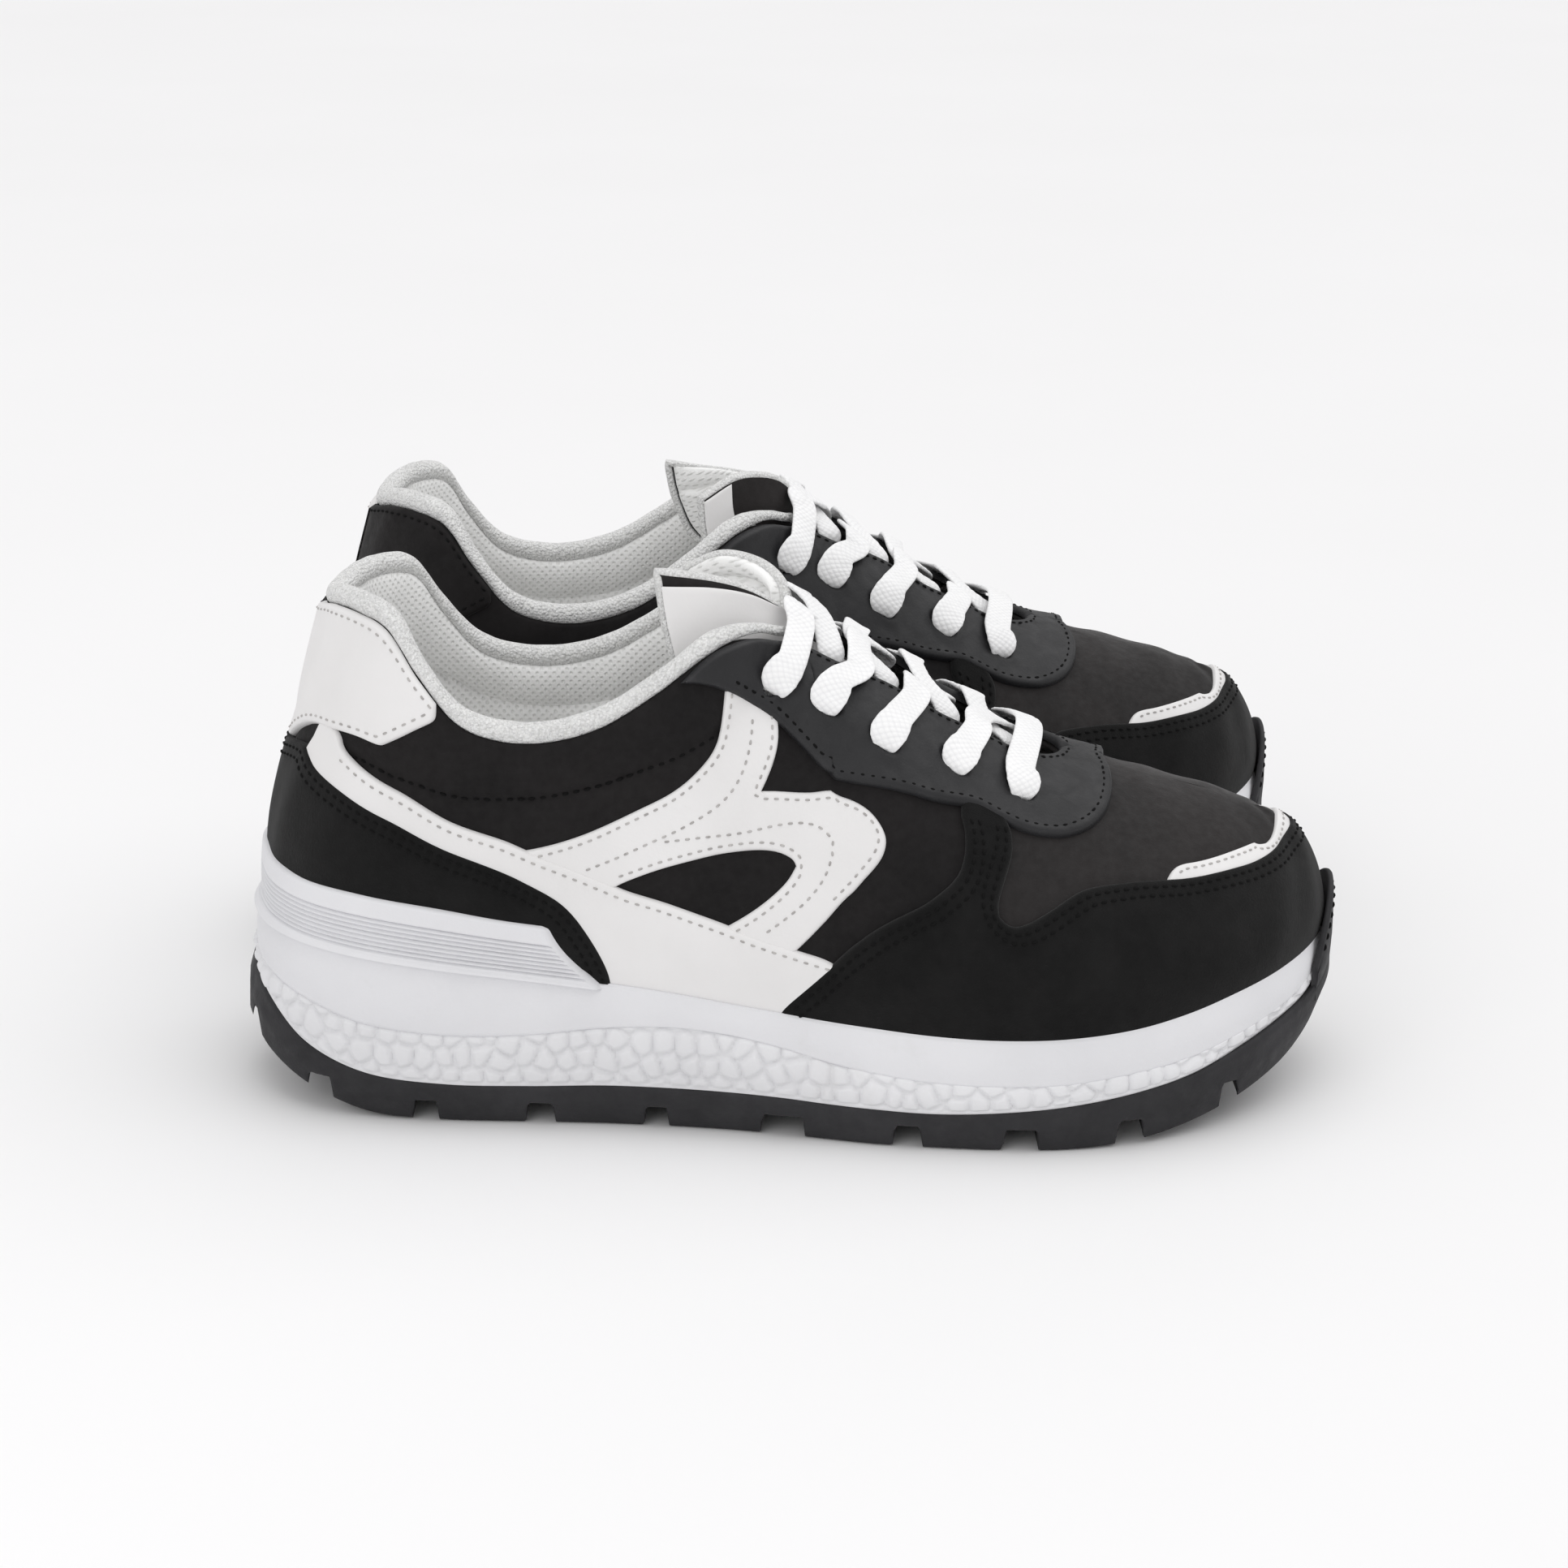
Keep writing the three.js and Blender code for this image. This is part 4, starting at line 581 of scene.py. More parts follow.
# ---------------------------------------------------------------- collar roll
def tube(centre, A, B, ra, rb, sec=20, cap=True):
    """Tube round a line; A and B are unit directions across it, ra and rb its half sizes."""
    n = len(centre)
    th = np.arange(sec) / sec * 2 * np.pi
    ra = np.broadcast_to(np.asarray(ra, float), (n,))
    rb = np.broadcast_to(np.asarray(rb, float), (n,))
    V = centre[:, None] + A[:, None] * (np.cos(th)[None, :, None] * ra[:, None, None]) + B[:, None] * (np.sin(th)[None, :, None] * rb[:, None, None])
    F = []
    for i in range(n - 1):
        for k in range(sec):
            a, b = i * sec + k, i * sec + (k + 1) % sec
            F.append((a, b, b + sec, a + sec))
    V = V.reshape(-1, 3)
    if cap:
        V = np.vstack([V, centre[0], centre[-1]])
        s, e = len(V) - 2, len(V) - 1
        F += [(s, (k + 1) % sec, k) for k in range(sec)] + [(e, (n - 1) * sec + k, (n - 1) * sec + (k + 1) % sec) for k in range(sec)]
    return V, F


def edge_line(u):
    """Where the roll runs: along the collar edge, then down beside the throat."""
    return np.interp(u, [0, 9.0, 9.4, 9.8, 10.2, 10.6, 11.0, 11.5, 12.0], [1, 1, 0.998, 0.99, 0.975, 0.955, 0.925, 0.885, 0.845])


def collar_roll():
    w = np.linspace(-11.9, 11.9, 330)
    cs, As, Bs = [], [], []
    for med, sgn in ((False, -1), (True, 1)):
        s = w < 0 if not med else w >= 0
        u = np.abs(w[s])
        top = edge_line(u)
        p, q = upper(u, top, med), upper(u, top - 0.03, med)
        n = normal(u, top - 0.01, med)
        d = p - q
        d /= np.linalg.norm(d, axis=1, keepdims=True)
        k = (1 - 0.55 * smooth(8.8, 10.6, u))[:, None]
        m = np.array([1, sgn, 1])
        cs.append((p - n * 1.9 * k - d * 0.7 * k) * m)
        As.append(n * m)
        Bs.append(d * m)
    c, A, B = np.vstack(cs), np.vstack(As), np.vstack(Bs)
    for k in range(3):  # even out the joins
        for X in (A, B):
            X[1:-1] = (X[:-2] + X[1:-1] * 2 + X[2:]) / 4
            X /= np.linalg.norm(X, axis=1, keepdims=True)
        c[1:-1] = (c[:-2] + c[1:-1] * 2 + c[2:]) / 4
    e = 1 - 0.55 * smooth(8.8, 10.6, np.abs(w)) - 0.1 * smooth(11.5, 11.9, np.abs(w))
    lump = 1 + 0.03 * np.sin(w * 9.1) * np.sin(w * 3.7 + 1)
    V, F = tube(c, A, B, 2.75 * e * lump, 2.75 * e * lump, 24)
    return V, F


put("collar_roll", collar_roll(), "terry", "terry_white", "shoe", ("collar_roll",), fill=0.85)

# ---------------------------------------------------------------- sole
ZT = [33,31,25.5,17.5,12.2,10.6,10.6,11.3,11.4,11.2,10.8,10,9.5,9.2,9.9,11.5,14,16.8,21,24.6,27,30.5,32.5]
ZS = [35,34.3,32.7,29.2,25,23.3,24,26.5,27.4,26.2,23.8,20.7,18.5,16.8,16.3,16.7,18.6,20.9,24.3,27.2,29.6,32.7,34.6]
ZB = [17,16,11,5.5,1,0,0,0,0,0,0,0,0,0,0,0,1,3.5,7,11,15,19,22]
O_TOP = [4.4,4.3,3.8,3,2.8,2.6,2.5,2.5,2.5,2.5,2.5,2.5,2.5,2.5,2.5,2.5,2.3,2.2,2,1.8,1.6,1.5,1.5]
O_SEAM = [5.6,5.6,5.5,5.3,5,4.7,4.5,4.3,4.2,4.1,4.1,4.2,4.4,4.8,5,5,4.7,4.3,3.8,3.2,2.7,2.4,2.2]
O_LOW = [6.2,6.2,6.2,6,5.5,5,4.6,4.4,4.4,4.5,4.7,5.1,5.6,6,6.2,6.2,6,5.8,5.4,5.1,4.9,4.9,5]
O_PEB = [5.4,5.4,5.2,4.8,4.2,3.8,3.4,3.2,3.2,3.3,3.5,3.9,4.4,4.8,5,5,4.8,4.1,3.1,2.6,2.3,2.1,2]
O_GROUND = [9,8.2,6.4,4.6,3.2,2.4,2,1.6,1.4,1.6,2.2,3.4,4.6,5,5.4,5.4,5,4.2,3.4,2.8,2.4,2.2,2]
GROOVES = [[19,25.5],[45.5,51.5],[73.3,80],[102.2,107.8],[130.6,141],[162.3,169],[188.6,197],[216.2,222.7],[242,247]]


def ring_at(w, off, z):
    """Point of a sole ring. w 0..22 runs heel to toe on the lateral side, 22..44 back on the medial side."""
    w = np.asarray(w, float)
    lat = w <= N
    u = np.where(lat, w, 2 * N - w)
    r = np.zeros(w.shape + (3,))
    for med, mask in ((False, lat), (True, ~lat)):
        tab = PM if med else PL
        f = spl(tab, u)
        nx, ny = outward(tab, u)
        p = np.stack([f[..., 0] + nx * off, (f[..., 1] + ny * off) * (1 if med else -1), z + 0 * u], -1)
        r[mask] = p[mask]
    return r


def even_w(step):
    """Ring parameters at even arc length."""
    w = np.linspace(0, 44, 2201)
    u = np.where(w <= N, w, 44 - w)
    p = ring_at(w, along(O_SEAM, u), 0 * w)
    s = np.r_[0, np.cumsum(np.linalg.norm(np.diff(p, axis=0), axis=1))]
    n = int(s[-1] / step)
    n += n % 2
    return np.interp(np.linspace(0, s[-1], n + 1)[:-1], s, w), s[-1]


def grid_faces(rows, cols, closed=True):
    F = []
    for r in range(rows - 1):
        for c in range(cols if closed else cols - 1):
            a, b = r * cols + c, r * cols + (c + 1) % cols
            F.append((a, b, b + cols, a + cols))
    return F


def cells(X, Y, size, seed):
    """Distances to the nearest and second nearest of scattered points: stone-like cells."""
    rng = np.random.RandomState(seed)
    nx, ny = int(X.max() / size) + 4, int((Y.max() - Y.min()) / size) + 5
    jit = rng.rand(nx, ny, 2) * 0.62 + 0.19
    gx, gy = np.floor(X / size).astype(int), np.floor((Y - Y.min()) / size).astype(int) + 1
    d = []
    for i in (-1, 0, 1):
        for j in (-1, 0, 1):
            cx, cy = (gx + i) % nx, np.clip(gy + j, 0, ny - 1)
            px, py = (gx + i + jit[cx, cy, 0]) * size, (gy - 1 + j + jit[cx, cy, 1]) * size + Y.min()
            px = px + size * 0.5 * (np.floor((py - Y.min()) / size).astype(int) % 2)
            d.append(np.hypot(X - px, (Y - py)))
    d = np.sort(np.array(d), axis=0)
    return d[0], d[1]


def side_wall(step, levels, profile, name_disp=None):
    """Rows of ring points from bottom to top. profile(t, u) gives (offset, z)."""
    w, total = even_w(step)
    u = np.where(w <= N, w, 44 - w)
    V = []
    s = np.linspace(0, total, len(w), endpoint=False)
    for t in levels:
        off, z = profile(t, u)
        if name_disp is not None:
            off = off + name_disp(s, u, t, w)
        V.append(ring_at(w, off, z))
    return V, w, u


def cap_faces(base, n, up):
    F = []
    for i in range(n // 2):
        a, b, c, d = base + i, base + (i + 1) % n, base + (n - i) % n, base + (n - i - 1) % n
        q = []
        for x in (a, b, d, c):
            if x not in q:
                q.append(x)
        if len(q) >= 3:
            F.append(tuple(q if up else q[::-1]))
    return F


def closed_wall(V):
    n = len(V[0])
    P = np.vstack(V)
    F = grid_faces(len(V), n)
    F += cap_faces(0, n, False) + cap_faces((len(V) - 1) * n, n, True)
    return P, F


def smooth_midsole():
    # the smooth foam: a lower lip over the seam, slightly full sides, and a top edge that laps the upper
    def prof(t, u):
        zs, zf = along(ZS, u) - 0.3, along(FL[:, 2], u) + 0.9
        o = along(O_SEAM, u) * (1 - t) + along(O_TOP, u) * t + 0.15
        bulge = 0.5 * np.sin(np.pi * min(t * 1.1, 1))
        lip = -0.8 * math.exp(-(t / 0.03) ** 2)
        edge = -0.9 * max(0, (t - 0.92) / 0.08) ** 2
        return np.maximum(o + bulge + lip + edge, 2.05), zs + (zf - zs) * t
    lv = np.r_[0, 0.015, 0.035, 0.06, 0.09, np.linspace(0.13, 0.9, 14), 0.93, 0.955, 0.975, 0.99, 1.0]
    V, w, u = side_wall(1.2, lv, prof)
    V.append(ring_at(w, 1.2 + 0 * u, along(FL[:, 2], u) + 0.9))
    V.append(ring_at(w, 0.2 + 0 * u, along(FL[:, 2], u) - 0.6))
    V.append(ring_at(w, -6.0 + 0 * u, along(FL[:, 2], u) - 0.6))
    V.insert(0, ring_at(w, 0.5 + 0 * u, along(ZS, u) - 0.2))
    return closed_wall(V)


def pebbled_midsole():
    step = 0.6

    def prof(t, u):
        zt, zs = along(ZT, u) - 0.1, along(ZS, u) + 0.6
        mid = np.where(u < 17.5, 0.9, 0.3)
        a, b = along(O_PEB, u), along(O_SEAM, u) - 0.6
        o = a * (1 - t) + b * t + 4 * t * (1 - t) * mid
        return o, zt + (zs - zt) * t
    w, total = even_w(step)
    u = np.where(w <= N, w, 44 - w)
    s = np.linspace(0, total, len(w), endpoint=False)
    rows = 40
    lv = np.linspace(0, 1, rows)
    Z = np.array([prof(t, u)[1] for t in lv])
    S = np.broadcast_to(s, Z.shape)
    f1, f2 = cells(S * 1.0, (Z + 40) * 0.86, 5.1, 11)
    pillow = smooth(0.0, 1.7, f2 - f1) * 0.95 - 0.22 * np.clip(f1 / 3, 0, 1) ** 2
    hgt = (Z - Z[0]) / 1.0
    fade = smooth(0.6, 1.5, hgt) * smooth(-0.05, 0.10, 1 - lv)[:, None]
    ledge = 0.55 * (1 - smooth(0.5, 1.3, hgt))
    top_in = -0.5 * smooth(0.9, 1.0, lv)[:, None]
    V = []
    for k, t in enumerate(lv):
        off, z = prof(t, u)
        V.append(ring_at(w, off + pillow[k] * fade[k] + ledge[k] + top_in[k], z))
    V.insert(0, ring_at(w, 0.5 + 0 * u, along(ZT, u) - 0.3))
    V.append(ring_at(w, 0.5 + 0 * u, along(ZS, u) + 0.3))
    return closed_wall(V)


def outsole():
    # stations from heel to toe; the ground side is a height field with lugs, grooves and a middle channel
    n = 440
    w = np.linspace(0, 1, n)
    uu = np.interp(w, np.linspace(0, 1, 2001), np.linspace(0, N, 2001))
    # even spacing along x
    xs = spl(PL, np.linspace(0, N, 2001))[:, 0]
    tgt = np.linspace(xs[0], xs[-1], n)
    uu = np.interp(tgt, xs, np.linspace(0, N, 2001))
    uu[0], uu[-1] = 0, N
    t8 = np.linspace(0, 1, 9)
    heel_toe = [0.0, 0.12, 0.3, 0.5, 0.7, 0.88, 0.95, 1.0]

    def side(u, t, med):
        """t 0 at the ground edge, 1 at the top edge; with the notches cut up into it."""
        zb, zt = along(ZB, u), along(ZT, u)
        og, ol = along(O_GROUND, u), along(O_LOW, u)
        om = (og + ol) / 2 + 0.8
        z = zb + (zt - zb) * t
        o = np.where(t < 0.55, og + (om - og) * (t / 0.55), om + (ol - om) * ((t - 0.55) / 0.45))
        o = o - 0.7 * max(0, (t - 0.9) / 0.1) ** 2 - 0.6 * max(0, (0.08 - t) / 0.08) ** 2
        w_ = np.where(med, 44 - u, u)
        return o, z, w_
    m = 21
    levels = np.r_[0, 0.04, 0.09, np.linspace(0.16, 0.88, 9), 0.93, 0.97, 1.0]

    def notch(x):
        """How far up the ground is cut away at x, and the height of the cut."""
        g = np.zeros_like(x)
        for a, b in GROOVES:
            c = (a + b) / 2
            top = (4.2 if c < 36 else 6.5 if c > 230 else 1.2 if c > 210 else 0) + 6.0
            k = smooth(a - 0.25, a + 0.55, x) * (1 - smooth(b - 0.55, b + 0.25, x))
            g = np.maximum(g, k * top)
        g = np.maximum(g, 20.5 * smooth(3.4, 3.9, x) * (1 - smooth(6.1, 6.6, x)))
        return g
    V, F = [], []
    # side walls, lateral then medial, as rows over stations
    idx = {}
    for med in (False, True):
        rows = []
        for t in levels:
            o, z, _ = side(uu, t, med)
            p = ring_at(np.where(med, 44 - uu, uu), o, z)
            if med:
                p[0], p[-1] = ring_at(np.array([0.0]), o[:1], z[:1])[0], ring_at(np.array([22.0]), o[-1:], z[-1:])[0]
            cut = notch(p[:, 0])
            zt = along(ZT, uu)
            low = np.minimum(np.maximum(z, cut), zt - 1.2)
            p[:, 2] = np.where(z < low, low, z)
            rows.append(p)
        idx[med] = (len(V), rows)
        base = sum(len(x) for x in V) if V else 0
        V += rows
        nl = len(levels)
        for r in range(nl - 1):
            for c in range(n - 1):
                a = base + r * n + c
                q = (a, a + 1, a + 1 + n, a + n)
                F.append(q if not med else q[::-1])
    # ground side
    lo_l, lo_m = idx[False][1][0], idx[True][1][0]
    base = sum(len(x) for x in V)
    fr = np.linspace(0, 1, m)
    G = lo_l[:, None] * (1 - fr)[None, :, None] + lo_m[:, None] * fr[None, :, None]
    zb = along(ZB, uu)[:, None] + 0 * fr[None]
    cut = notch(G[..., 0])
    chan = 3.2 * (1 - smooth(4.6, 6.4, np.abs(G[..., 1])))
    zz = np.maximum(np.maximum(zb, cut), chan)
    # small siped blocks inside the lugs: sip comes out as zero, so it adds nothing
    sip = 0.7 * (0.5 + 0.5 * np.sign(np.sin(G[..., 0] * 2 * np.pi / 9.0) * 0 + 1)) * 0
    G[..., 2] = np.minimum(zz + sip, along(ZT, uu)[:, None] - 1.2)
    G[:, 0, 2], G[:, -1, 2] = lo_l[:, 2], lo_m[:, 2]
    V.append(G.reshape(-1, 3))
    for i in range(n - 1):
        for j in range(m - 1):
            a = base + i * m + j
            F.append((a, a + 1, a + 1 + m, a + m))
    # top side, under the midsole
    base2 = sum(len(x) for x in V)
    tl, tm = idx[False][1][-1], idx[True][1][-1]
    H = tl[:, None] * (1 - fr)[None, :, None] + tm[:, None] * fr[None, :, None]
    V.append(H.reshape(-1, 3))
    for i in range(n - 1):
        for j in range(m - 1):
            a = base2 + i * m + j
            F.append((a, a + m, a + 1 + m, a + 1))
    body = (np.vstack(V), F)
    # toe bumper, with a round top edge and a low raised border
    us = np.linspace(-1.8, 1.8, 80)
    secs = []
    for ww in us:
        u = N - abs(ww)
        med = ww > 0
        t = abs(ww) / 1.8
        top, bs, lo = 51 - 16 * t * t - 2 * t, float(along(ZT, u)) - 4, float(along(O_LOW, u))
        prof = [(3.2, bs), (lo - 0.1, bs), (lo - 0.2, bs + 3.9), (lo - 0.1, bs + 4.2)]
        o_at = lambda f: lo + (4.6 - lo) * f
        H_ = top - bs
        prof += [(o_at(0.4) + 0.25, bs + 4.3 + (H_ - 4.3) * 0.3), (o_at(0.7) + 0.3, bs + 4.3 + (H_ - 4.3) * 0.6), (4.8, top - 2.6), (4.85, top - 1.6), (4.7, top - 0.6), (4.3, top - 0.1), (3.8, top), (3.3, top - 0.4)]
        row = []
        for o, z in prof:
            q = ring_at(np.array([u if not med else 44 - u]), np.array([o]), np.array([z]))[0]
            row.append(q)
        secs.append(row)
    S = np.array(secs)
    k = S.shape[1]
    Fb = []
    for i in range(len(us) - 1):
        for j in range(k):
            a, b = i * k + j, i * k + (j + 1) % k
            Fb.append((a, b, b + k, a + k))
    Fb.append(tuple(range(k - 1, -1, -1)))
    Fb.append(tuple((len(us) - 1) * k + j for j in range(k)))
    return merged(body, (S.reshape(-1, 3), Fb))


def stabiliser():
    cols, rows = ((280, 72))
    V = np.zeros((rows, cols, 3))
    ztab = [62,61.6,60.6,59.4,58,55.6,52.6,51.0]
    hh = np.linspace(0, 1, rows)
    x = np.linspace(-1, 1, cols)
    vs = np.linspace(0, 0.45, 40)

    def proud(u, z, med):
        """How far the upper stands out from the feather line at height z."""
        out = np.zeros_like(u)
        for m in (False, True):
            k = med == m
            if not k.any():
                continue
            F = spl(PM if m else PL, u[k])
            nx, ny = outward(PM if m else PL, u[k])
            P = upper(u[k][:, None], vs[None], m)
            off = (P[..., 0] - F[:, None, 0]) * nx[:, None] + (P[..., 1] - F[:, None, 1]) * ny[:, None]
            out[k] = [np.interp(zz, pz, po) for zz, pz, po in zip(z[k], P[..., 2], off)]
        return out
    for r, h in enumerate(hh):
        end = 7.0 - 0.72 * h - 0.1 * math.sin(h * math.pi)
        w = x * end
        u = np.abs(w)
        med = w > 0
        f = along(FL[:, 2], u)
        z0, zt = f - 0.3, along(ztab, np.minimum(u, 7))
        z = z0 + (zt - z0) * h
        o0 = along(O_TOP, u)
        base = np.maximum(proud(u, z, med) + 2.15 + 0.55, (o0 + 0.4) * (1 - h) ** 2)
        fade = smooth(0, 0.10, end - u)
        fade_in = smooth(0.07, 0.16, end - u)
        k = np.clip((h - 0.10) / 0.60, 0, 1)
        rib = (0.5 * (1 - np.cos(2 * np.pi * k * 8))) ** 1.6 * (0.10 < h < 0.70)
        o = base + 1.35 * (1 - 0.5 * h) * fade - 0.9 * rib * fade_in * fade - 0.9 * max(0, (h - 0.95) / 0.05) ** 2 - (1 - fade) * 0.5
        V[r] = ring_at(np.where(med, 44 - u, u), o, z)
    inner = np.zeros((2, cols, 3))
    for r, h in enumerate((1.0, 0.0)):
        w = x * (7.0 - 0.72 * h)
        u = np.abs(w)
        z0, zt = along(FL[:, 2], u) - 0.3, along(ztab, np.minimum(u, 7))
        z = z0 + (zt - z0) * h
        inner[r] = ring_at(np.where(w > 0, 44 - u, u), proud(u, z, w > 0) + 0.6, z)
    P = np.vstack([V.reshape(-1, 3), inner.reshape(-1, 3)])
    R = rows + 2
    F = []
    for r in range(R):
        r2 = (r + 1) % R
        for c in range(cols - 1):
            F.append((r * cols + c, r * cols + c + 1, r2 * cols + c + 1, r2 * cols + c))
    F.append(tuple(r * cols for r in range(R)))
    F.append(tuple(r * cols + cols - 1 for r in range(R - 1, -1, -1)))
    return P, F


put("midsole_smooth", smooth_midsole(), "eva", "foam_white", "shoe", ("midsole_smooth",))
put("midsole_pebbled", pebbled_midsole(), "eva_pebbled", "foam_white", "shoe", ("midsole_pebbled",))
put("outsole", outsole(), "rubber", "rubber_dark", "shoe", ("outsole",))
put("heel_stabiliser", stabiliser(), "eva", "foam_white", "shoe", ("heel_stabiliser",))


def bed(inset_mm, lo, hi, dome=0.0):
    """Board or sock liner inside the shoe: a plate with a rounded edge."""
    w, _ = even_w(2.0)
    u = np.where(w <= N, w, 44 - w)
    z = along(FL[:, 2], u)
    rows = [(inset_mm - 0.6, lo), (inset_mm, lo + 0.4), (inset_mm, hi - 0.8), (inset_mm - 0.5, hi - 0.15), (inset_mm - 1.5, hi), (inset_mm - 6, hi - dome * 0.4), (inset_mm - 14, hi - dome)]
    V = [ring_at(w, -abs(o) + 0 * u if True else o, z + h) for o, h in [(abs(a) if a < 0 else a, b) for a, b in rows]]
    return closed_wall(V)


put("sock_liner", bed(-8.2, 2.3, 5.9, 0.6), "mesh_liner", "mesh_white", "shoe", ("sock_liner",))
put("insole_board", bed(-3.4, 0.1, 2.0), "board", "board", "shoe", ("insole_board",))

# ---------------------------------------------------------------- tongue
NET = np.array([
    [[207.45,0,76.61],[207.45,2.2,76.51],[207.35,4.6,76.41],[207.25,7,76.11],[207.15,9,75.61]],
    [[194.92,0,80.37],[194.72,3.1,80.37],[194.42,6.4,80.07],[194.12,9.7,79.57],[193.82,12.8,78.67]],
    [[181.08,0,86.88],[181.08,4.2,86.68],[180.98,8.2,86.08],[180.38,12.4,85.18],[179.38,16.2,83.88]],
    [[166.28,0,95.88],[165.88,5,95.88],[165.28,10,94.98],[164.58,14.6,93.33],[163.28,18.2,90.48]],
    [[151.88,0,105.58],[151.78,5.4,105.08],[151.18,10.6,103.78],[150.18,15.3,100.38],[148.68,18.4,95.08]],
    [[141.6,0,112.2],[140.4,5.4,111.8],[137.8,10.8,109.6],[133.9,15.8,105.0],[128.32,18.2,97.67]],
    [[139.4,0,115.4],[137.2,5.5,115.9],[132.0,11.0,115.6],[124.0,16.0,112.2],[113.5,19.0,105.2]],
    [[138.6,0,116.8],[135.8,5.6,119.0],[128.6,10.8,121.8],[119.5,15.6,121.4],[108.6,18.9,117.6]],
    [[138.2,0,118.0],[135.0,5.7,121.5],[127.6,10.7,127.0],[118.6,15.3,130.9],[106.0,18.7,133.5]]], float)
MEDIAL = NET.copy()
MEDIAL[6, 1:] = [[138.0,5.5,116.8],[133.2,11.0,116.4],[125.0,16.0,112.4],[115.6,19.0,105.4]]
MEDIAL[7, 1:] = [[137.4,5.6,120.4],[132.0,10.8,122.4],[122.0,15.6,121.0],[112.6,18.9,115.2]]
MEDIAL[8, 1:] = [[137.4,5.7,123.6],[131.4,10.7,128.4],[121.4,15.4,129.4],[111.6,18.5,124.6]]
_m = np.array([1, -1, 1])
FULL = np.concatenate([NET[:, :0:-1] * _m, MEDIAL], axis=1)  # 9 rows by 9 columns, lateral edge first


def net_pt(r, w):
    """Smooth tongue surface; r 0 foot to 8 top, w -1 lateral edge to 1 medial edge."""
    r, w = np.broadcast_arrays(np.asarray(r, float), np.asarray(w, float))
    r = np.clip(r, 0, 8)
    c = np.clip((w + 1) * 4, 0, 8)

    def wts(t):
        i = np.minimum(np.floor(t).astype(int), 7)
        f = t - i
        W = np.stack([-f + 2 * f * f - f ** 3, 2 - 5 * f * f + 3 * f ** 3, f + 4 * f * f - 3 * f ** 3, -f * f + f ** 3], -1) * 0.5
        I = np.stack([i - 1, i, i + 1, i + 2], -1)
        return I, W
    Ir, Wr = wts(r)
    Ic, Wc = wts(c)

    def get(i, j):
        ic, jc = np.clip(i, 0, 8), np.clip(j, 0, 8)
        P = FULL[ic, jc]
        P = P + (FULL[ic, jc] - FULL[np.clip(2 * ic - i, 0, 8), jc]) * (i != ic)[..., None]
        P = P + (FULL[ic, jc] - FULL[ic, np.clip(2 * jc - j, 0, 8)]) * (j != jc)[..., None]
        return P
    out = 0
    for a in range(4):
        for b in range(4):
            out = out + get(Ir[..., a], Ic[..., b]) * (Wr[..., a] * Wc[..., b])[..., None]
    return out


def net_nm(r, w):
    e = 0.15
    R = net_pt(np.minimum(r + e, 8), w) - net_pt(np.maximum(r - e, 0), w)
    W = net_pt(r, np.minimum(w + 0.05, 1)) - net_pt(r, np.maximum(w - 0.05, -1))
    n = np.cross(W, R)
    n /= np.linalg.norm(n, axis=-1, keepdims=True) + 1e-9
    s = np.where(n[..., 0] + n[..., 2] < 0, -1, 1)
    return n * s[..., None]


def net_sheet(r0, r1, w0, w1, lo, hi, nr=90, nc=70, edge=0.8):
    """Closed sheet on the tongue; lo and hi are offsets as functions of (r, w)."""
    ends = lambda n: np.r_[0, 0.004, 0.012, np.linspace(0.03, 0.97, n), 0.988, 0.996, 1]
    R, W = np.meshgrid(r0 + (r1 - r0) * ends(nr), w0 + (w1 - w0) * ends(nc), indexing="ij")
    P, M = net_pt(R, W), net_nm(R, W)
    # millimetres to the nearest border, for the rounding
    dr = np.minimum(R - r0, r1 - R) * 9.0
    dw = np.minimum(W - w0, w1 - W) * 20.0
    d = np.minimum(dr, dw)
    x = np.clip(1 - d / edge, 0, 1)
    q = np.sqrt(np.clip(1 - x * x, 0, 1))
    L, H = lo(R, W), hi(R, W)
    C = (L + H) / 2
    a = P + M * (C + (H - C) * q)[..., None]
    b = P + M * (C + (L - C) * q)[..., None]
    h, k = R.shape
    V = np.vstack([a.reshape(-1, 3), b.reshape(-1, 3)])
    idx = np.arange(h * k).reshape(h, k)
    F = []
    for i in range(h - 1):
        for j in range(k - 1):
            p, q2, r2, s2 = int(idx[i, j]), int(idx[i, j + 1]), int(idx[i + 1, j + 1]), int(idx[i + 1, j])
            F.append((p, q2, r2, s2))
            o = h * k
            F.append((p + o, s2 + o, r2 + o, q2 + o))
    return V, F


shell = net_sheet(0, 8, -1, 1, lambda r, w: -1.2 + 0 * r, lambda r, w: 0.0 + 0.25 * np.sin(r * 3.1) * np.sin(w * 4) * smooth(0.5, 2, r), edge=0.9)
put("tongue_shell", shell, "softshell_brown", "softshell_black", "tongue", ("tongue_shell",))


def pad_in(r, w):
    full = 1.6 + 2.6 * (1 - w * w) ** 0.7 * smooth(0, 2.5, r)
    seam = 1.3 * np.exp(-((r - 7.35) / 0.09) ** 2) * smooth(3, 5, r)
    return -1.5 - full + seam


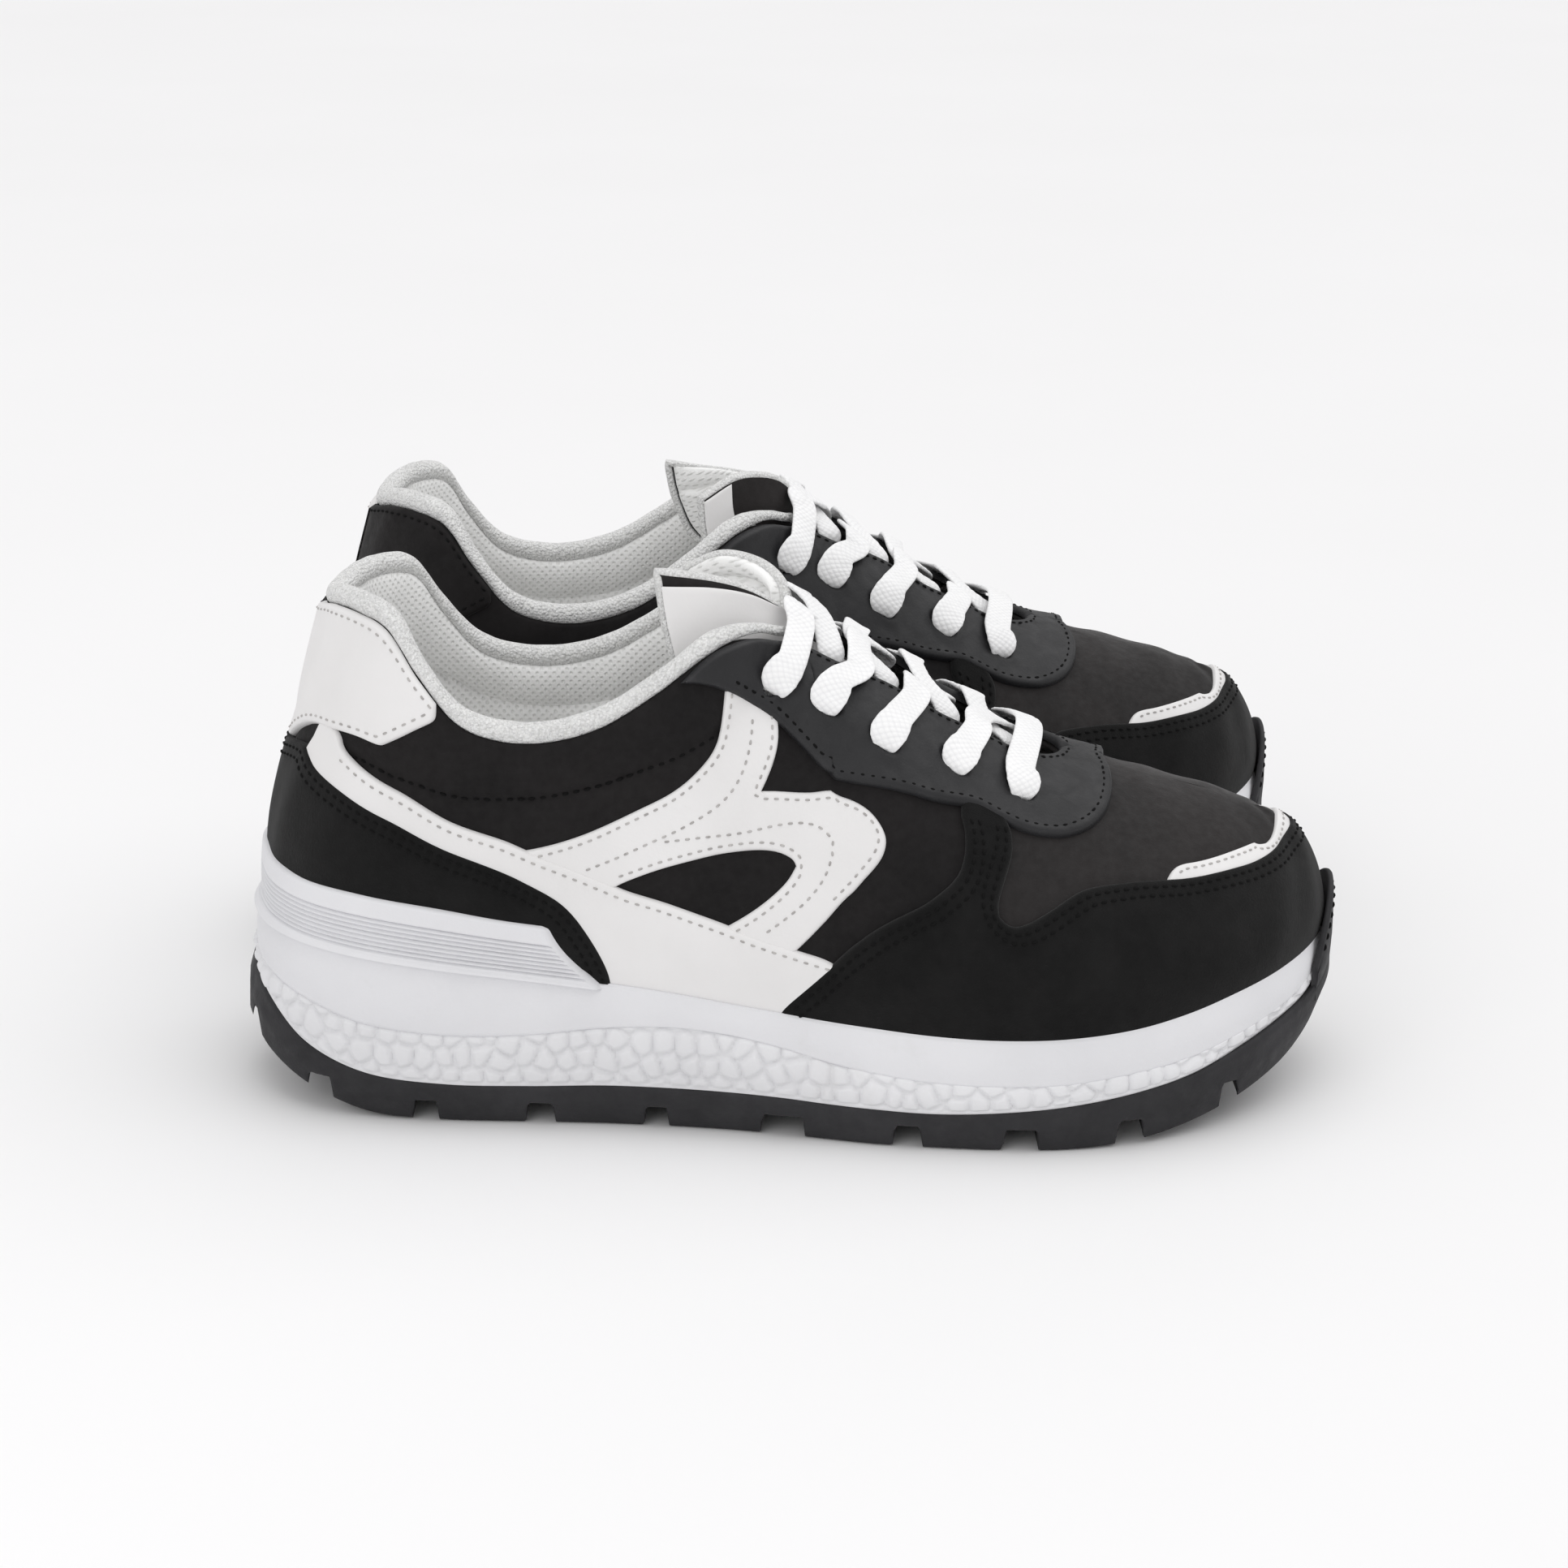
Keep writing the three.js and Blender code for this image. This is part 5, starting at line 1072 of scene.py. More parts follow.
put("tongue_padding", net_sheet(0.15, 8.0, -0.97, 0.97, lambda r, w: pad_in(r, w), lambda r, w: -1.35 + 0 * r, edge=2.2), "mesh", "mesh_white", "tongue", ("tongue_padding",), fill=0.75)
put("tongue_wing", net_sheet(3.9, 7.8, -1.0, -0.1, lambda r, w: 0.1 + 0 * r, lambda r, w: 1.05 + 0 * r, edge=0.9), "leather_white", "leather_white", "tongue", ("tongue_wing",))
put("tongue_wing_medial", net_sheet(4.6, 7.93, 0.80, 1.0, lambda r, w: 0.1 + 0 * r, lambda r, w: 0.85 + 0 * r, edge=0.8), "leather_white", "leather_white", "tongue")
# soft knitted binding that runs up one edge of the tongue, over its top and down the other
rr = np.r_[np.linspace(4.8, 8, 60), np.full(60, 8.0), np.linspace(8, 4.8, 60)]
ww = np.r_[np.full(60, -1.0), np.linspace(-1, 1, 62)[1:-1], np.full(60, 1.0)]
C, M = net_pt(rr, ww), net_nm(rr, ww)
keepc = np.r_[True, np.linalg.norm(np.diff(C, axis=0), axis=1) > 1e-4]
C, M = C[keepc] - M[keepc] * 1.6, M[keepc]
tt = np.gradient(C, axis=0)
tt /= np.linalg.norm(tt, axis=1, keepdims=True)
for _ in range(3):
    tt[1:-1] = (tt[:-2] + 2 * tt[1:-1] + tt[2:]) / 4
tt /= np.linalg.norm(tt, axis=1, keepdims=True)
sidev = np.cross(tt, M)
sidev /= np.linalg.norm(sidev, axis=1, keepdims=True)
put("tongue_binding", tube(C, M, sidev, 1.6, 1.05, 16), "terry", "terry_white", "tongue", fill=0.8)

for _n in ("collar_lining", "vamp_lining"):
    PIECES[_n]["uv"] = wall_flat(PIECES[_n]["v"])
PIECES["sock_liner"]["uv"] = PIECES["sock_liner"]["v"][:, :2]
_p = PIECES["tongue_padding"]["v"]
PIECES["tongue_padding"]["uv"] = np.stack([_p[:, 1] * 1.15, np.hypot(_p[:, 0] - 140, _p[:, 2] - 60) * np.sign(_p[:, 2])], 1)

# ---------------------------------------------------------------- laces
LW, LT = 7.2, 1.5


def _hole(k, med):
    u, v = EYELETS[k]
    p, n = on(np.array(u), np.array(v), np.array(0.0), med), normal(np.array(u), np.array(v), med)
    return p, n * (np.array([1, 1, 1]) if med else _m)


def _toe(n):
    x = np.array([1.0, 0, 0])
    x = x - n * (x @ n)
    return x / np.linalg.norm(x)


EDGE_AT = [[11.2,0.885],[12.35,0.815],[13.15,0.84],[14.05,0.86],[15.0,0.876]]


def _edge(k, s, du=0.0, dv=0.0):
    u, v = EDGE_AT[k][0] + du, EDGE_AT[k][1] + dv
    med = s > 0
    return on(np.array(u), np.array(v), np.array(0.0), med), normal(np.array(u), np.array(v), med) * (np.array([1, 1, 1]) if med else _m)


def unit(a):
    return a / (np.linalg.norm(a) + 1e-12)


def strand(first):
    r, s = [], first
    for k in range(4, -1, -1):
        c, n = _hole(k, s > 0)
        b = _toe(n)
        out = np.cross(b, n)
        if np.sign(out[1]) != s:
            out = -out
        lean = -0.15 if k == 4 else 0.75 if k == 0 else 0.6
        bl = unit(b + out * lean * 0.9)

        def up(o, d, w, bb=None, f=1.0):
            r.append([c + n * o + out * d + b * (-d * lean * f if d < 0 else 0), b if bb is None else bb, w, 1.0])
        up(4.0 if k == 4 else 3.8, -5.6, LW * 1.06, bl); up(4.4, -3.2, LW * 1.22, bl); up(4.25, -0.9, LW * 1.28, bl); up(3.5, 1.1, LW * 1.12, bl); up(2.2, 2.05, 6.2, bl); up(0.9, 1.9, 4.6, bl); up(-0.4, 0.8, 3.7); up(-1.8, 0.15, 3.7)
        if k == 0:
            up(-3.0, 1.4, 4.6); up(-3.8, 5, 6.2); up(-4.4, 9.5, 6.2)
            break
        up(-2.9, -1.2, 4.6)
        e, en = _edge(k, s)
        r.append([e - en * 2.7, _toe(en), 6.0, 1.0])
        e3, n3 = _edge(k, s, 0.10, 0.05)
        e4, n4 = _edge(k - 1, -s, 0.52 if k == 1 else 0.40, 0.045)
        frm = e3 - n3 * 0.1
        r.append([frm, _toe(n3), LW, 1.0])
        c2, h2 = _hole(k - 1, -s > 0)
        c2 = c2 + h2 * 3.7
        mid = (frm + c2 + _toe(h2) * (5.0 if k == 1 else 1.5)) / 2
        mid[1] = 0
        lift = 1.0 if (k % 2 == 0) == (s > 0) else -1.0
        us = np.arange(12, 16, 0.05)
        q = upper(us, np.ones_like(us), False)
        best = us[np.argmin(np.abs(q[:, 0] - mid[0]))]
        q, nq = upper(np.array(best), np.array(1.0), False), normal(np.array(best), np.array(1.0), False)
        mm = q + nq * (0.9 + lift * 1.0)
        mm[1] = 0
        d = unit(c2 - frm)
        bb = _toe(nq)
        bb = unit(bb - d * (bb @ d))
        r.append([mm, bb, LW, 1.0])
        r.append([e4 + n4 * (4.0 if k == 1 else 3.2), bb, LW, 1.0])
        e2, n2 = _edge(k - 1, -s, 0.52 if k == 1 else 0.34)
        over = e2 + n2 * (4.5 if k == 1 else 3.8)
        over = over * 0.92 + c2 * 0.08
        r.append([over, unit(bb * 0.6 + _toe(h2) * 0.4), LW, 1.0])
        s = -s
    return r


def lace():
    A, B = strand(-1), strand(1)
    q, n = upper(np.array(15.3), np.array(1.0), False), normal(np.array(15.3), np.array(1.0), False)
    way = A[::-1] + [[q + n * 4.5, _toe(n), LW, 1.0]] + B
    P = np.array([w[0] for w in way])
    Bd = np.array([w[1] for w in way])
    Wd = np.array([w[2] for w in way])
    cen, bs, ws = [], [], []
    n = len(P)
    for i in range(n - 1):
        g = lambda k: P[min(max(k, 0), n - 1)]
        sub = max(2, int(np.linalg.norm(P[i + 1] - P[i]) / 0.8))
        for j in range(sub):
            f = j / sub
            a, b, c, d = g(i - 1), g(i), g(i + 1), g(i + 2)
            cen.append(0.5 * (2 * b + (c - a) * f + (2 * a - 5 * b + 4 * c - d) * f * f + (3 * b - a - 3 * c + d) * f ** 3))
            bs.append(unit(Bd[i] * (1 - f) + Bd[i + 1] * f))
            ff = f * f * (3 - 2 * f)
            ws.append(Wd[i] * (1 - ff) + Wd[i + 1] * ff)
    cen.append(P[-1]); bs.append(Bd[-1]); ws.append(Wd[-1])
    cen, bs, ws = np.array(cen), np.array(bs), np.array(ws)
    for _ in range(2):
        cen[1:-1] = (cen[:-2] + 2 * cen[1:-1] + cen[2:]) / 4
    t = np.gradient(cen, axis=0)
    t /= np.linalg.norm(t, axis=1, keepdims=True)
    b = bs - t * (bs * t).sum(1, keepdims=True)
    b /= np.linalg.norm(b, axis=1, keepdims=True)
    for _ in range(3):
        b[1:-1] = (b[:-2] + 2 * b[1:-1] + b[2:]) / 4
        b /= np.linalg.norm(b, axis=1, keepdims=True)
    m = np.cross(t, b)
    # section: a flat woven band, rounded at its sides, slightly hollow along the middle, pinched at the eyelets
    sec = 22
    th = np.arange(sec) / sec * 2 * np.pi
    cx, sy = np.cos(th), np.sin(th)
    ex = np.sign(cx) * np.abs(cx) ** 0.55
    ey = np.sign(sy) * np.abs(sy) ** 0.75
    cup = (1 - ws / LW)
    V = cen[:, None] + b[:, None] * (ex[None, :, None] * ws[:, None, None] / 2)
    thick = LT / 2 * (1 + 0.9 * cup)
    bow = cup[:, None] * 1.3 * (0.5 - ex[None] ** 2) - (1 - cup[:, None]) * 0.16 * (1 - ex[None] ** 2) * np.sign(ey)[None] * 0.5
    V = V + m[:, None] * ((ey[None] * thick[:, None] + bow)[..., None])
    # woven ribs: fine cross bumps and a herringbone along the band
    s = np.r_[0, np.cumsum(np.linalg.norm(np.diff(cen, axis=0), axis=1))]
    weave = 0.085 * np.sin(s[:, None] * 2 * np.pi / 1.25 + np.abs(ex)[None] * 5.0)
    V = V + m[:, None] * (weave * np.sign(ey)[None] * np.abs(ey)[None])[..., None]
    F = []
    for i in range(len(cen) - 1):
        for k in range(sec):
            a, c = i * sec + k, i * sec + (k + 1) % sec
            F.append((a, c, c + sec, a + sec))
    V = V.reshape(-1, 3)
    V = np.vstack([V, cen[0], cen[-1]])
    flat = np.stack([np.broadcast_to(s[:, None], (len(cen), sec)), ex[None] * ws[:, None] / 2], -1).reshape(-1, 2)
    LACE_FLAT.append(np.vstack([flat, [s[0], 0], [s[-1], 0]]))
    s0, e0 = len(V) - 2, len(V) - 1
    F += [(s0, (k + 1) % sec, k) for k in range(sec)] + [(e0, (len(cen) - 1) * sec + k, (len(cen) - 1) * sec + (k + 1) % sec) for k in range(sec)]
    return V, F


LACE_FLAT = []
put("lace", lace(), "lace", "lace_white", "shoe", ("lace",))
PIECES["lace"]["uv"] = LACE_FLAT[0]
for colour, parts in STITCH.items():
    put(f"stitching_{colour[7:]}", merged(*parts), colour, "lace_white" if colour.endswith("white") else "leather_black", "shoe")

# bumper seam stitches on the rubber edge
us = np.linspace(-1.55, 1.55, 60)
P3, N3 = [], []
for wq in us:
    u = N - abs(wq)
    t = abs(wq) / 1.8
    z = 51 - 16 * t * t - 2 * t - 3.0
    a = ring_at(np.array([u if wq <= 0 else 44 - u]), np.array([4.95]), np.array([z]))[0]
    b = ring_at(np.array([u if wq <= 0 else 44 - u]), np.array([5.95]), np.array([z]))[0]
    P3.append(a); N3.append(b - a)
put("bumper_stitching", capsules(np.array(P3), np.array(N3), pitch=3.0), "thread_black", "rubber_dark", "shoe")

# ---------------------------------------------------------------- materials
def mat(name, base, rough, bump=(), tint=None, sheen=0.0, coat=0.0, spec=0.5, edge=None, sheen_rough=0.4, sss=0.0):
    """Procedural material. bump: list of (kind, scale per metre, strength mm), not used. tint: (scale, amount), not
    used. edge: colour that wear shows, not used.
    """
    m = bpy.data.materials.new(name)
    m.use_nodes = True
    nt = m.node_tree
    N_ = nt.nodes
    Lk = nt.links
    N_.clear()
    out = N_.new("ShaderNodeOutputMaterial")
    sh = N_.new("ShaderNodeBsdfPrincipled")
    Lk.new(sh.outputs[0], out.inputs[0])
    tc = N_.new("ShaderNodeTexCoord")
    sh.inputs["Roughness"].default_value = rough
    sh.inputs["Specular IOR Level"].default_value = spec
    if sheen:
        sh.inputs["Sheen Weight"].default_value = sheen
        sh.inputs["Sheen Roughness"].default_value = sheen_rough
    if coat:
        sh.inputs["Coat Weight"].default_value = coat
        sh.inputs["Coat Roughness"].default_value = 0.35
    if sss:
        sh.inputs["Subsurface Weight"].default_value = sss
        sh.inputs["Subsurface Radius"].default_value = (0.002, 0.002, 0.002)
    return m, nt, N_, Lk, sh, tc


def noise(N_, Lk, tc, scale, detail=4, rough=0.55, dist=0.0):
    n = N_.new("ShaderNodeTexNoise")
    n.inputs["Scale"].default_value = scale
    n.inputs["Detail"].default_value = detail
    n.inputs["Roughness"].default_value = rough
    n.inputs["Distortion"].default_value = dist
    Lk.new(tc.outputs["Object"], n.inputs["Vector"])
    return n


def voro(N_, Lk, tc, scale, feature="F1"):
    n = N_.new("ShaderNodeTexVoronoi")
    n.feature = feature
    n.inputs["Scale"].default_value = scale
    Lk.new(tc.outputs["Object"], n.inputs["Vector"])
    return n


def ramp(N_, Lk, src, stops):
    r = N_.new("ShaderNodeValToRGB")
    e = r.color_ramp.elements
    e[0].position, e[0].color = stops[0][0], (*stops[0][1], 1)
    e[1].position, e[1].color = stops[-1][0], (*stops[-1][1], 1)
    for p, c in stops[1:-1]:
        x = e.new(p)
        x.color = (*c, 1)
    Lk.new(src, r.inputs[0])
    return r


def math_node(N_, Lk, op, a, b):
    m = N_.new("ShaderNodeMath")
    m.operation = op
    for k, x in enumerate((a, b)):
        if isinstance(x, (int, float)):
            m.inputs[k].default_value = x
        else:
            Lk.new(x, m.inputs[k])
    return m.outputs[0]


def bumps(N_, Lk, sh, chain):
    """chain: list of (height socket, distance in metres, strength)."""
    last = None
    for h, dist, st in chain:
        b = N_.new("ShaderNodeBump")
        b.inputs["Strength"].default_value = st
        b.inputs["Distance"].default_value = dist
        Lk.new(h, b.inputs["Height"])
        if last is not None:
            Lk.new(last.outputs[0], b.inputs["Normal"])
        last = b
    Lk.new(last.outputs[0], sh.inputs["Normal"])


def worn(N_, Lk, colour, edge_colour, lo=0.54, hi=0.62, amount=0.5):
    """Lighter or darker wear on the convex edges, from Geometry's pointiness."""
    g = N_.new("ShaderNodeNewGeometry")
    r = ramp(N_, Lk, g.outputs["Pointiness"], [(lo, (0, 0, 0)), (hi, (amount,) * 3)])
    x = N_.new("ShaderNodeMix")
    x.data_type = "RGBA"
    Lk.new(r.outputs[0], x.inputs["Factor"])
    Lk.new(colour, x.inputs[6])
    x.inputs[7].default_value = (*edge_colour, 1)
    return x.outputs[2]


def variation(N_, Lk, tc, scale, dark, light, lo=0.35, hi=0.65, detail=3):
    n = noise(N_, Lk, tc, scale, detail)
    return ramp(N_, Lk, n.outputs["Fac"], [(lo, dark), (hi, light)]).outputs[0], n


def rough_from(N_, Lk, sh, src, lo, hi):
    r = N_.new("ShaderNodeMapRange")
    r.inputs["To Min"].default_value = lo
    r.inputs["To Max"].default_value = hi
    r.inputs["From Min"].default_value = 0.3
    r.inputs["From Max"].default_value = 0.7
    Lk.new(src, r.inputs["Value"])
    Lk.new(r.outputs[0], sh.inputs["Roughness"])


MATS = {}


def build_materials():
    # softshell, black and the warmer black of the vamp
    for nm, dk, lt in (("softshell", (0.0052, 0.0044, 0.0046), (0.0092, 0.0078, 0.0080)), ("softshell_brown", (0.0095, 0.0080, 0.0080), (0.0165, 0.0138, 0.0136))):
        m, nt, N_, Lk, sh, tc = mat(nm, None, 0.74, sheen=0.07 if nm == "softshell" else 0.12, spec=0.22 if nm == "softshell" else 0.32, sheen_rough=0.35)
        c, n = variation(N_, Lk, tc, 38, dk, lt)
        fine = noise(N_, Lk, tc, 2600, 2, 0.6)
        grain = noise(N_, Lk, tc, 420, 5, 0.6)
        speck = voro(N_, Lk, tc, 620)
        sp = ramp(N_, Lk, speck.outputs["Distance"], [(0.0, (1, 1, 1)), (0.045, (0, 0, 0))])
        x = N_.new("ShaderNodeMix")
        x.data_type = "RGBA"
        fac = math_node(N_, Lk, "MULTIPLY", sp.outputs[0], 0.10)
        Lk.new(fac, x.inputs["Factor"])
        Lk.new(c, x.inputs[6])
        x.inputs[7].default_value = (0.14, 0.13, 0.125, 1)
        Lk.new(worn(N_, Lk, x.outputs[2], (0.045, 0.042, 0.04), 0.55, 0.68, 0.25), sh.inputs["Base Color"])
        rough_from(N_, Lk, sh, grain.outputs["Fac"], 0.62, 0.80)
        bumps(N_, Lk, sh, [(grain.outputs["Fac"], 0.0004, 0.25), (fine.outputs["Fac"], 0.00012, 0.5)])
        MATS[nm] = m
    # matt suede
    m, nt, N_, Lk, sh, tc = mat("suede", None, 0.95, sheen=0.10, spec=0.18, sheen_rough=0.5)
    c, n = variation(N_, Lk, tc, 55, (0.0040, 0.0040, 0.0040), (0.0082, 0.0080, 0.0080))
    nap = noise(N_, Lk, tc, 1900, 4, 0.75)
    nap2 = noise(N_, Lk, tc, 300, 4, 0.6)
    Lk.new(worn(N_, Lk, c, (0.022, 0.021, 0.021), 0.54, 0.64, 0.55), sh.inputs["Base Color"])
    rough_from(N_, Lk, sh, nap2.outputs["Fac"], 0.86, 0.98)
    bumps(N_, Lk, sh, [(nap2.outputs["Fac"], 0.0004, 0.25), (nap.outputs["Fac"], 0.0002, 0.9)])
    MATS["suede"] = m
    # smooth black coated leather
    m, nt, N_, Lk, sh, tc = mat("leather_black", None, 0.5, spec=0.42)
    c, n = variation(N_, Lk, tc, 46, (0.0092, 0.0092, 0.0105), (0.0140, 0.0140, 0.0156))
    pores = voro(N_, Lk, tc, 1500)
    crease = noise(N_, Lk, tc, 240, 5, 0.6, 0.6)
    Lk.new(worn(N_, Lk, c, (0.060, 0.060, 0.064), 0.54, 0.64, 0.45), sh.inputs["Base Color"])
    rough_from(N_, Lk, sh, crease.outputs["Fac"], 0.46, 0.62)
    bumps(N_, Lk, sh, [(crease.outputs["Fac"], 0.0004, 0.22), (pores.outputs["Distance"], 0.0001, 0.35)])
    MATS["leather_black"] = m
    # smooth white coated leather
    m, nt, N_, Lk, sh, tc = mat("leather_white", None, 0.5, spec=0.4, sss=0.02)
    c, n = variation(N_, Lk, tc, 30, (0.775, 0.765, 0.760), (0.835, 0.825, 0.822), 0.3, 0.7)
    pores = voro(N_, Lk, tc, 1300)
    crease = noise(N_, Lk, tc, 200, 5, 0.6, 0.5)
    scuff = noise(N_, Lk, tc, 90, 6, 0.75, 1.2)
    sr = ramp(N_, Lk, scuff.outputs["Fac"], [(0.66, (0, 0, 0)), (0.80, (0.30,) * 3)])
    x = N_.new("ShaderNodeMix")
    x.data_type = "RGBA"
    Lk.new(sr.outputs[0], x.inputs["Factor"])
    Lk.new(c, x.inputs[6])
    x.inputs[7].default_value = (0.62, 0.60, 0.585, 1)
    Lk.new(worn(N_, Lk, x.outputs[2], (0.66, 0.645, 0.63), 0.56, 0.7, 0.4), sh.inputs["Base Color"])
    rough_from(N_, Lk, sh, crease.outputs["Fac"], 0.42, 0.58)
    bumps(N_, Lk, sh, [(crease.outputs["Fac"], 0.00035, 0.18), (pores.outputs["Distance"], 0.00008, 0.25)])
    MATS["leather_white"] = m
    # knitted mesh of the lining: rows of small holes, coloured darker than the face as painted shade inside the holes
    for nm, hole, face in (("mesh", (0.89, 0.89, 0.87), (0.985, 0.985, 0.975)), ("mesh_liner", (0.86, 0.86, 0.84), (0.96, 0.96, 0.945))):
        m, nt, N_, Lk, sh, tc = mat(nm, None, 0.9, sheen=0.25, spec=0.2, sheen_rough=0.5)
        v = N_.new("ShaderNodeTexVoronoi")
        v.voronoi_dimensions = "2D"
        v.feature = "F1"
        v.inputs["Scale"].default_value = 640
        v.inputs["Randomness"].default_value = 0.05
        mp = N_.new("ShaderNodeMapping")
        mp.inputs["Rotation"].default_value = (0.0, 0.0, math.radians(45))
        Lk.new(tc.outputs["UV"], mp.inputs["Vector"])
        Lk.new(mp.outputs[0], v.inputs["Vector"])
        # the darker hole colour is painted shade in the holes
        c = ramp(N_, Lk, v.outputs["Distance"], [(0.10, hole), (0.30, face)])
        var, n = variation(N_, Lk, tc, 60, (0.96, 0.96, 0.96), (1, 1, 1))
        x = N_.new("ShaderNodeMix")
        x.data_type = "RGBA"
        x.blend_type = "MULTIPLY"
        x.inputs["Factor"].default_value = 1.0
        Lk.new(c.outputs[0], x.inputs[6])
        Lk.new(var, x.inputs[7])
        Lk.new(worn(N_, Lk, x.outputs[2], (0.94, 0.94, 0.925), 0.55, 0.7, 0.3), sh.inputs["Base Color"])
        h = ramp(N_, Lk, v.outputs["Distance"], [(0.08, (0, 0, 0)), (0.34, (1, 1, 1))])
        fine = noise(N_, Lk, tc, 3000, 2)
        rough_from(N_, Lk, sh, n.outputs["Fac"], 0.84, 0.95)
        bumps(N_, Lk, sh, [(h.outputs[0], 0.0004, 0.7), (fine.outputs["Fac"], 0.0002, 0.4)])
        MATS[nm] = m
    # looped terry edge; its colour is darker between the loops as painted shade
    m, nt, N_, Lk, sh, tc = mat("terry", None, 0.95, sheen=0.35, spec=0.15, sheen_rough=0.55)
    v = voro(N_, Lk, tc, 1250)
    fz = noise(N_, Lk, tc, 2200, 4, 0.75)
    c, n = variation(N_, Lk, tc, 70, (0.93, 0.93, 0.925), (0.97, 0.97, 0.965))
    # darker between the loops: painted shade in the gaps
    dk = ramp(N_, Lk, v.outputs["Distance"], [(0.25, (1, 1, 1)), (0.85, (0.90, 0.90, 0.885))])
    x = N_.new("ShaderNodeMix")
    x.data_type = "RGBA"
    x.blend_type = "MULTIPLY"
    x.inputs["Factor"].default_value = 1.0
    Lk.new(c, x.inputs[6])
    Lk.new(dk.outputs[0], x.inputs[7])
    Lk.new(x.outputs[2], sh.inputs["Base Color"])
    rough_from(N_, Lk, sh, fz.outputs["Fac"], 0.9, 1.0)
    inv = math_node(N_, Lk, "SUBTRACT", 1.0, v.outputs["Distance"])
    bumps(N_, Lk, sh, [(inv, 0.0009, 0.9), (fz.outputs["Fac"], 0.0004, 0.7)])
    MATS["terry"] = m
    # flat woven lace: small plaited cells set at a slant to the band, coloured darker between the cells as painted
    # shade
    m, nt, N_, Lk, sh, tc = mat("lace", None, 0.85, sheen=0.3, spec=0.2, sheen_rough=0.5)
    v = N_.new("ShaderNodeTexVoronoi")
    v.voronoi_dimensions = "2D"
    v.feature = "F1"
    v.inputs["Scale"].default_value = 900
    v.inputs["Randomness"].default_value = 0.12
    mp = N_.new("ShaderNodeMapping")
    mp.inputs["Rotation"].default_value = (0.0, 0.0, math.radians(38))
    mp.inputs["Scale"].default_value = (1.0, 0.72, 1.0)
    Lk.new(tc.outputs["UV"], mp.inputs["Vector"])
    Lk.new(mp.outputs[0], v.inputs["Vector"])
    fz = noise(N_, Lk, tc, 2600, 3, 0.7)
    c, n = variation(N_, Lk, tc, 80, (0.92, 0.92, 0.92), (0.97, 0.97, 0.97))
    # darker between the cells: painted shade in the weave
    dk = ramp(N_, Lk, v.outputs["Distance"], [(0.25, (1, 1, 1)), (0.75, (0.88, 0.88, 0.89))])
    x = N_.new("ShaderNodeMix")
    x.data_type = "RGBA"
    x.blend_type = "MULTIPLY"
    x.inputs["Factor"].default_value = 1.0
    Lk.new(c, x.inputs[6])
    Lk.new(dk.outputs[0], x.inputs[7])
    Lk.new(x.outputs[2], sh.inputs["Base Color"])
    rough_from(N_, Lk, sh, fz.outputs["Fac"], 0.8, 0.92)
    inv = math_node(N_, Lk, "SUBTRACT", 1.0, v.outputs["Distance"])
    bumps(N_, Lk, sh, [(inv, 0.0004, 0.6), (fz.outputs["Fac"], 0.0001, 0.4)])
    MATS["lace"] = m
    # moulded foam, smooth and pebbled
    for nm, dk, lt in (("eva", (0.72, 0.72, 0.74), (0.785, 0.785, 0.805)), ("eva_pebbled", (0.725, 0.725, 0.74), (0.80, 0.80, 0.815))):
        m, nt, N_, Lk, sh, tc = mat(nm, None, 0.55, spec=0.35, sss=0.03)
        c, n = variation(N_, Lk, tc, 26, dk, lt, 0.3, 0.7)
        fine = noise(N_, Lk, tc, 1700, 3, 0.6)
        mid = noise(N_, Lk, tc, 330, 4, 0.6)
        dirt = noise(N_, Lk, tc, 34, 6, 0.7, 0.4)
        dr = ramp(N_, Lk, dirt.outputs["Fac"], [(0.62, (0, 0, 0)), (0.78, (0.22,) * 3)])
        x = N_.new("ShaderNodeMix")
        x.data_type = "RGBA"
        Lk.new(dr.outputs[0], x.inputs["Factor"])
        Lk.new(c, x.inputs[6])
        x.inputs[7].default_value = (0.60, 0.585, 0.565, 1)
        Lk.new(worn(N_, Lk, x.outputs[2], (0.60, 0.60, 0.61), 0.56, 0.7, 0.3), sh.inputs["Base Color"])
        rough_from(N_, Lk, sh, mid.outputs["Fac"], 0.48, 0.66)
        bumps(N_, Lk, sh, [(mid.outputs["Fac"], 0.0003, 0.3), (fine.outputs["Fac"], 0.00012, 0.5)])
        MATS[nm] = m
    # dark rubber
    m, nt, N_, Lk, sh, tc = mat("rubber", None, 0.7, spec=0.35)
    c, n = variation(N_, Lk, tc, 40, (0.0185, 0.0180, 0.0200), (0.0285, 0.0278, 0.0305))
    fine = noise(N_, Lk, tc, 1500, 3, 0.6)
    mid = noise(N_, Lk, tc, 260, 4, 0.6)
    Lk.new(worn(N_, Lk, c, (0.085, 0.083, 0.086), 0.54, 0.66, 0.6), sh.inputs["Base Color"])
    rough_from(N_, Lk, sh, mid.outputs["Fac"], 0.6, 0.8)
    bumps(N_, Lk, sh, [(mid.outputs["Fac"], 0.0003, 0.3), (fine.outputs["Fac"], 0.00015, 0.6)])
    MATS["rubber"] = m
    # board under the liner
    m, nt, N_, Lk, sh, tc = mat("board", None, 0.85, spec=0.2)
    c, n = variation(N_, Lk, tc, 90, (0.50, 0.47, 0.40), (0.64, 0.61, 0.54))
    fine = noise(N_, Lk, tc, 900, 5, 0.7)
    Lk.new(c, sh.inputs["Base Color"])
    rough_from(N_, Lk, sh, fine.outputs["Fac"], 0.78, 0.92)
    bumps(N_, Lk, sh, [(fine.outputs["Fac"], 0.0003, 0.6)])
    MATS["board"] = m
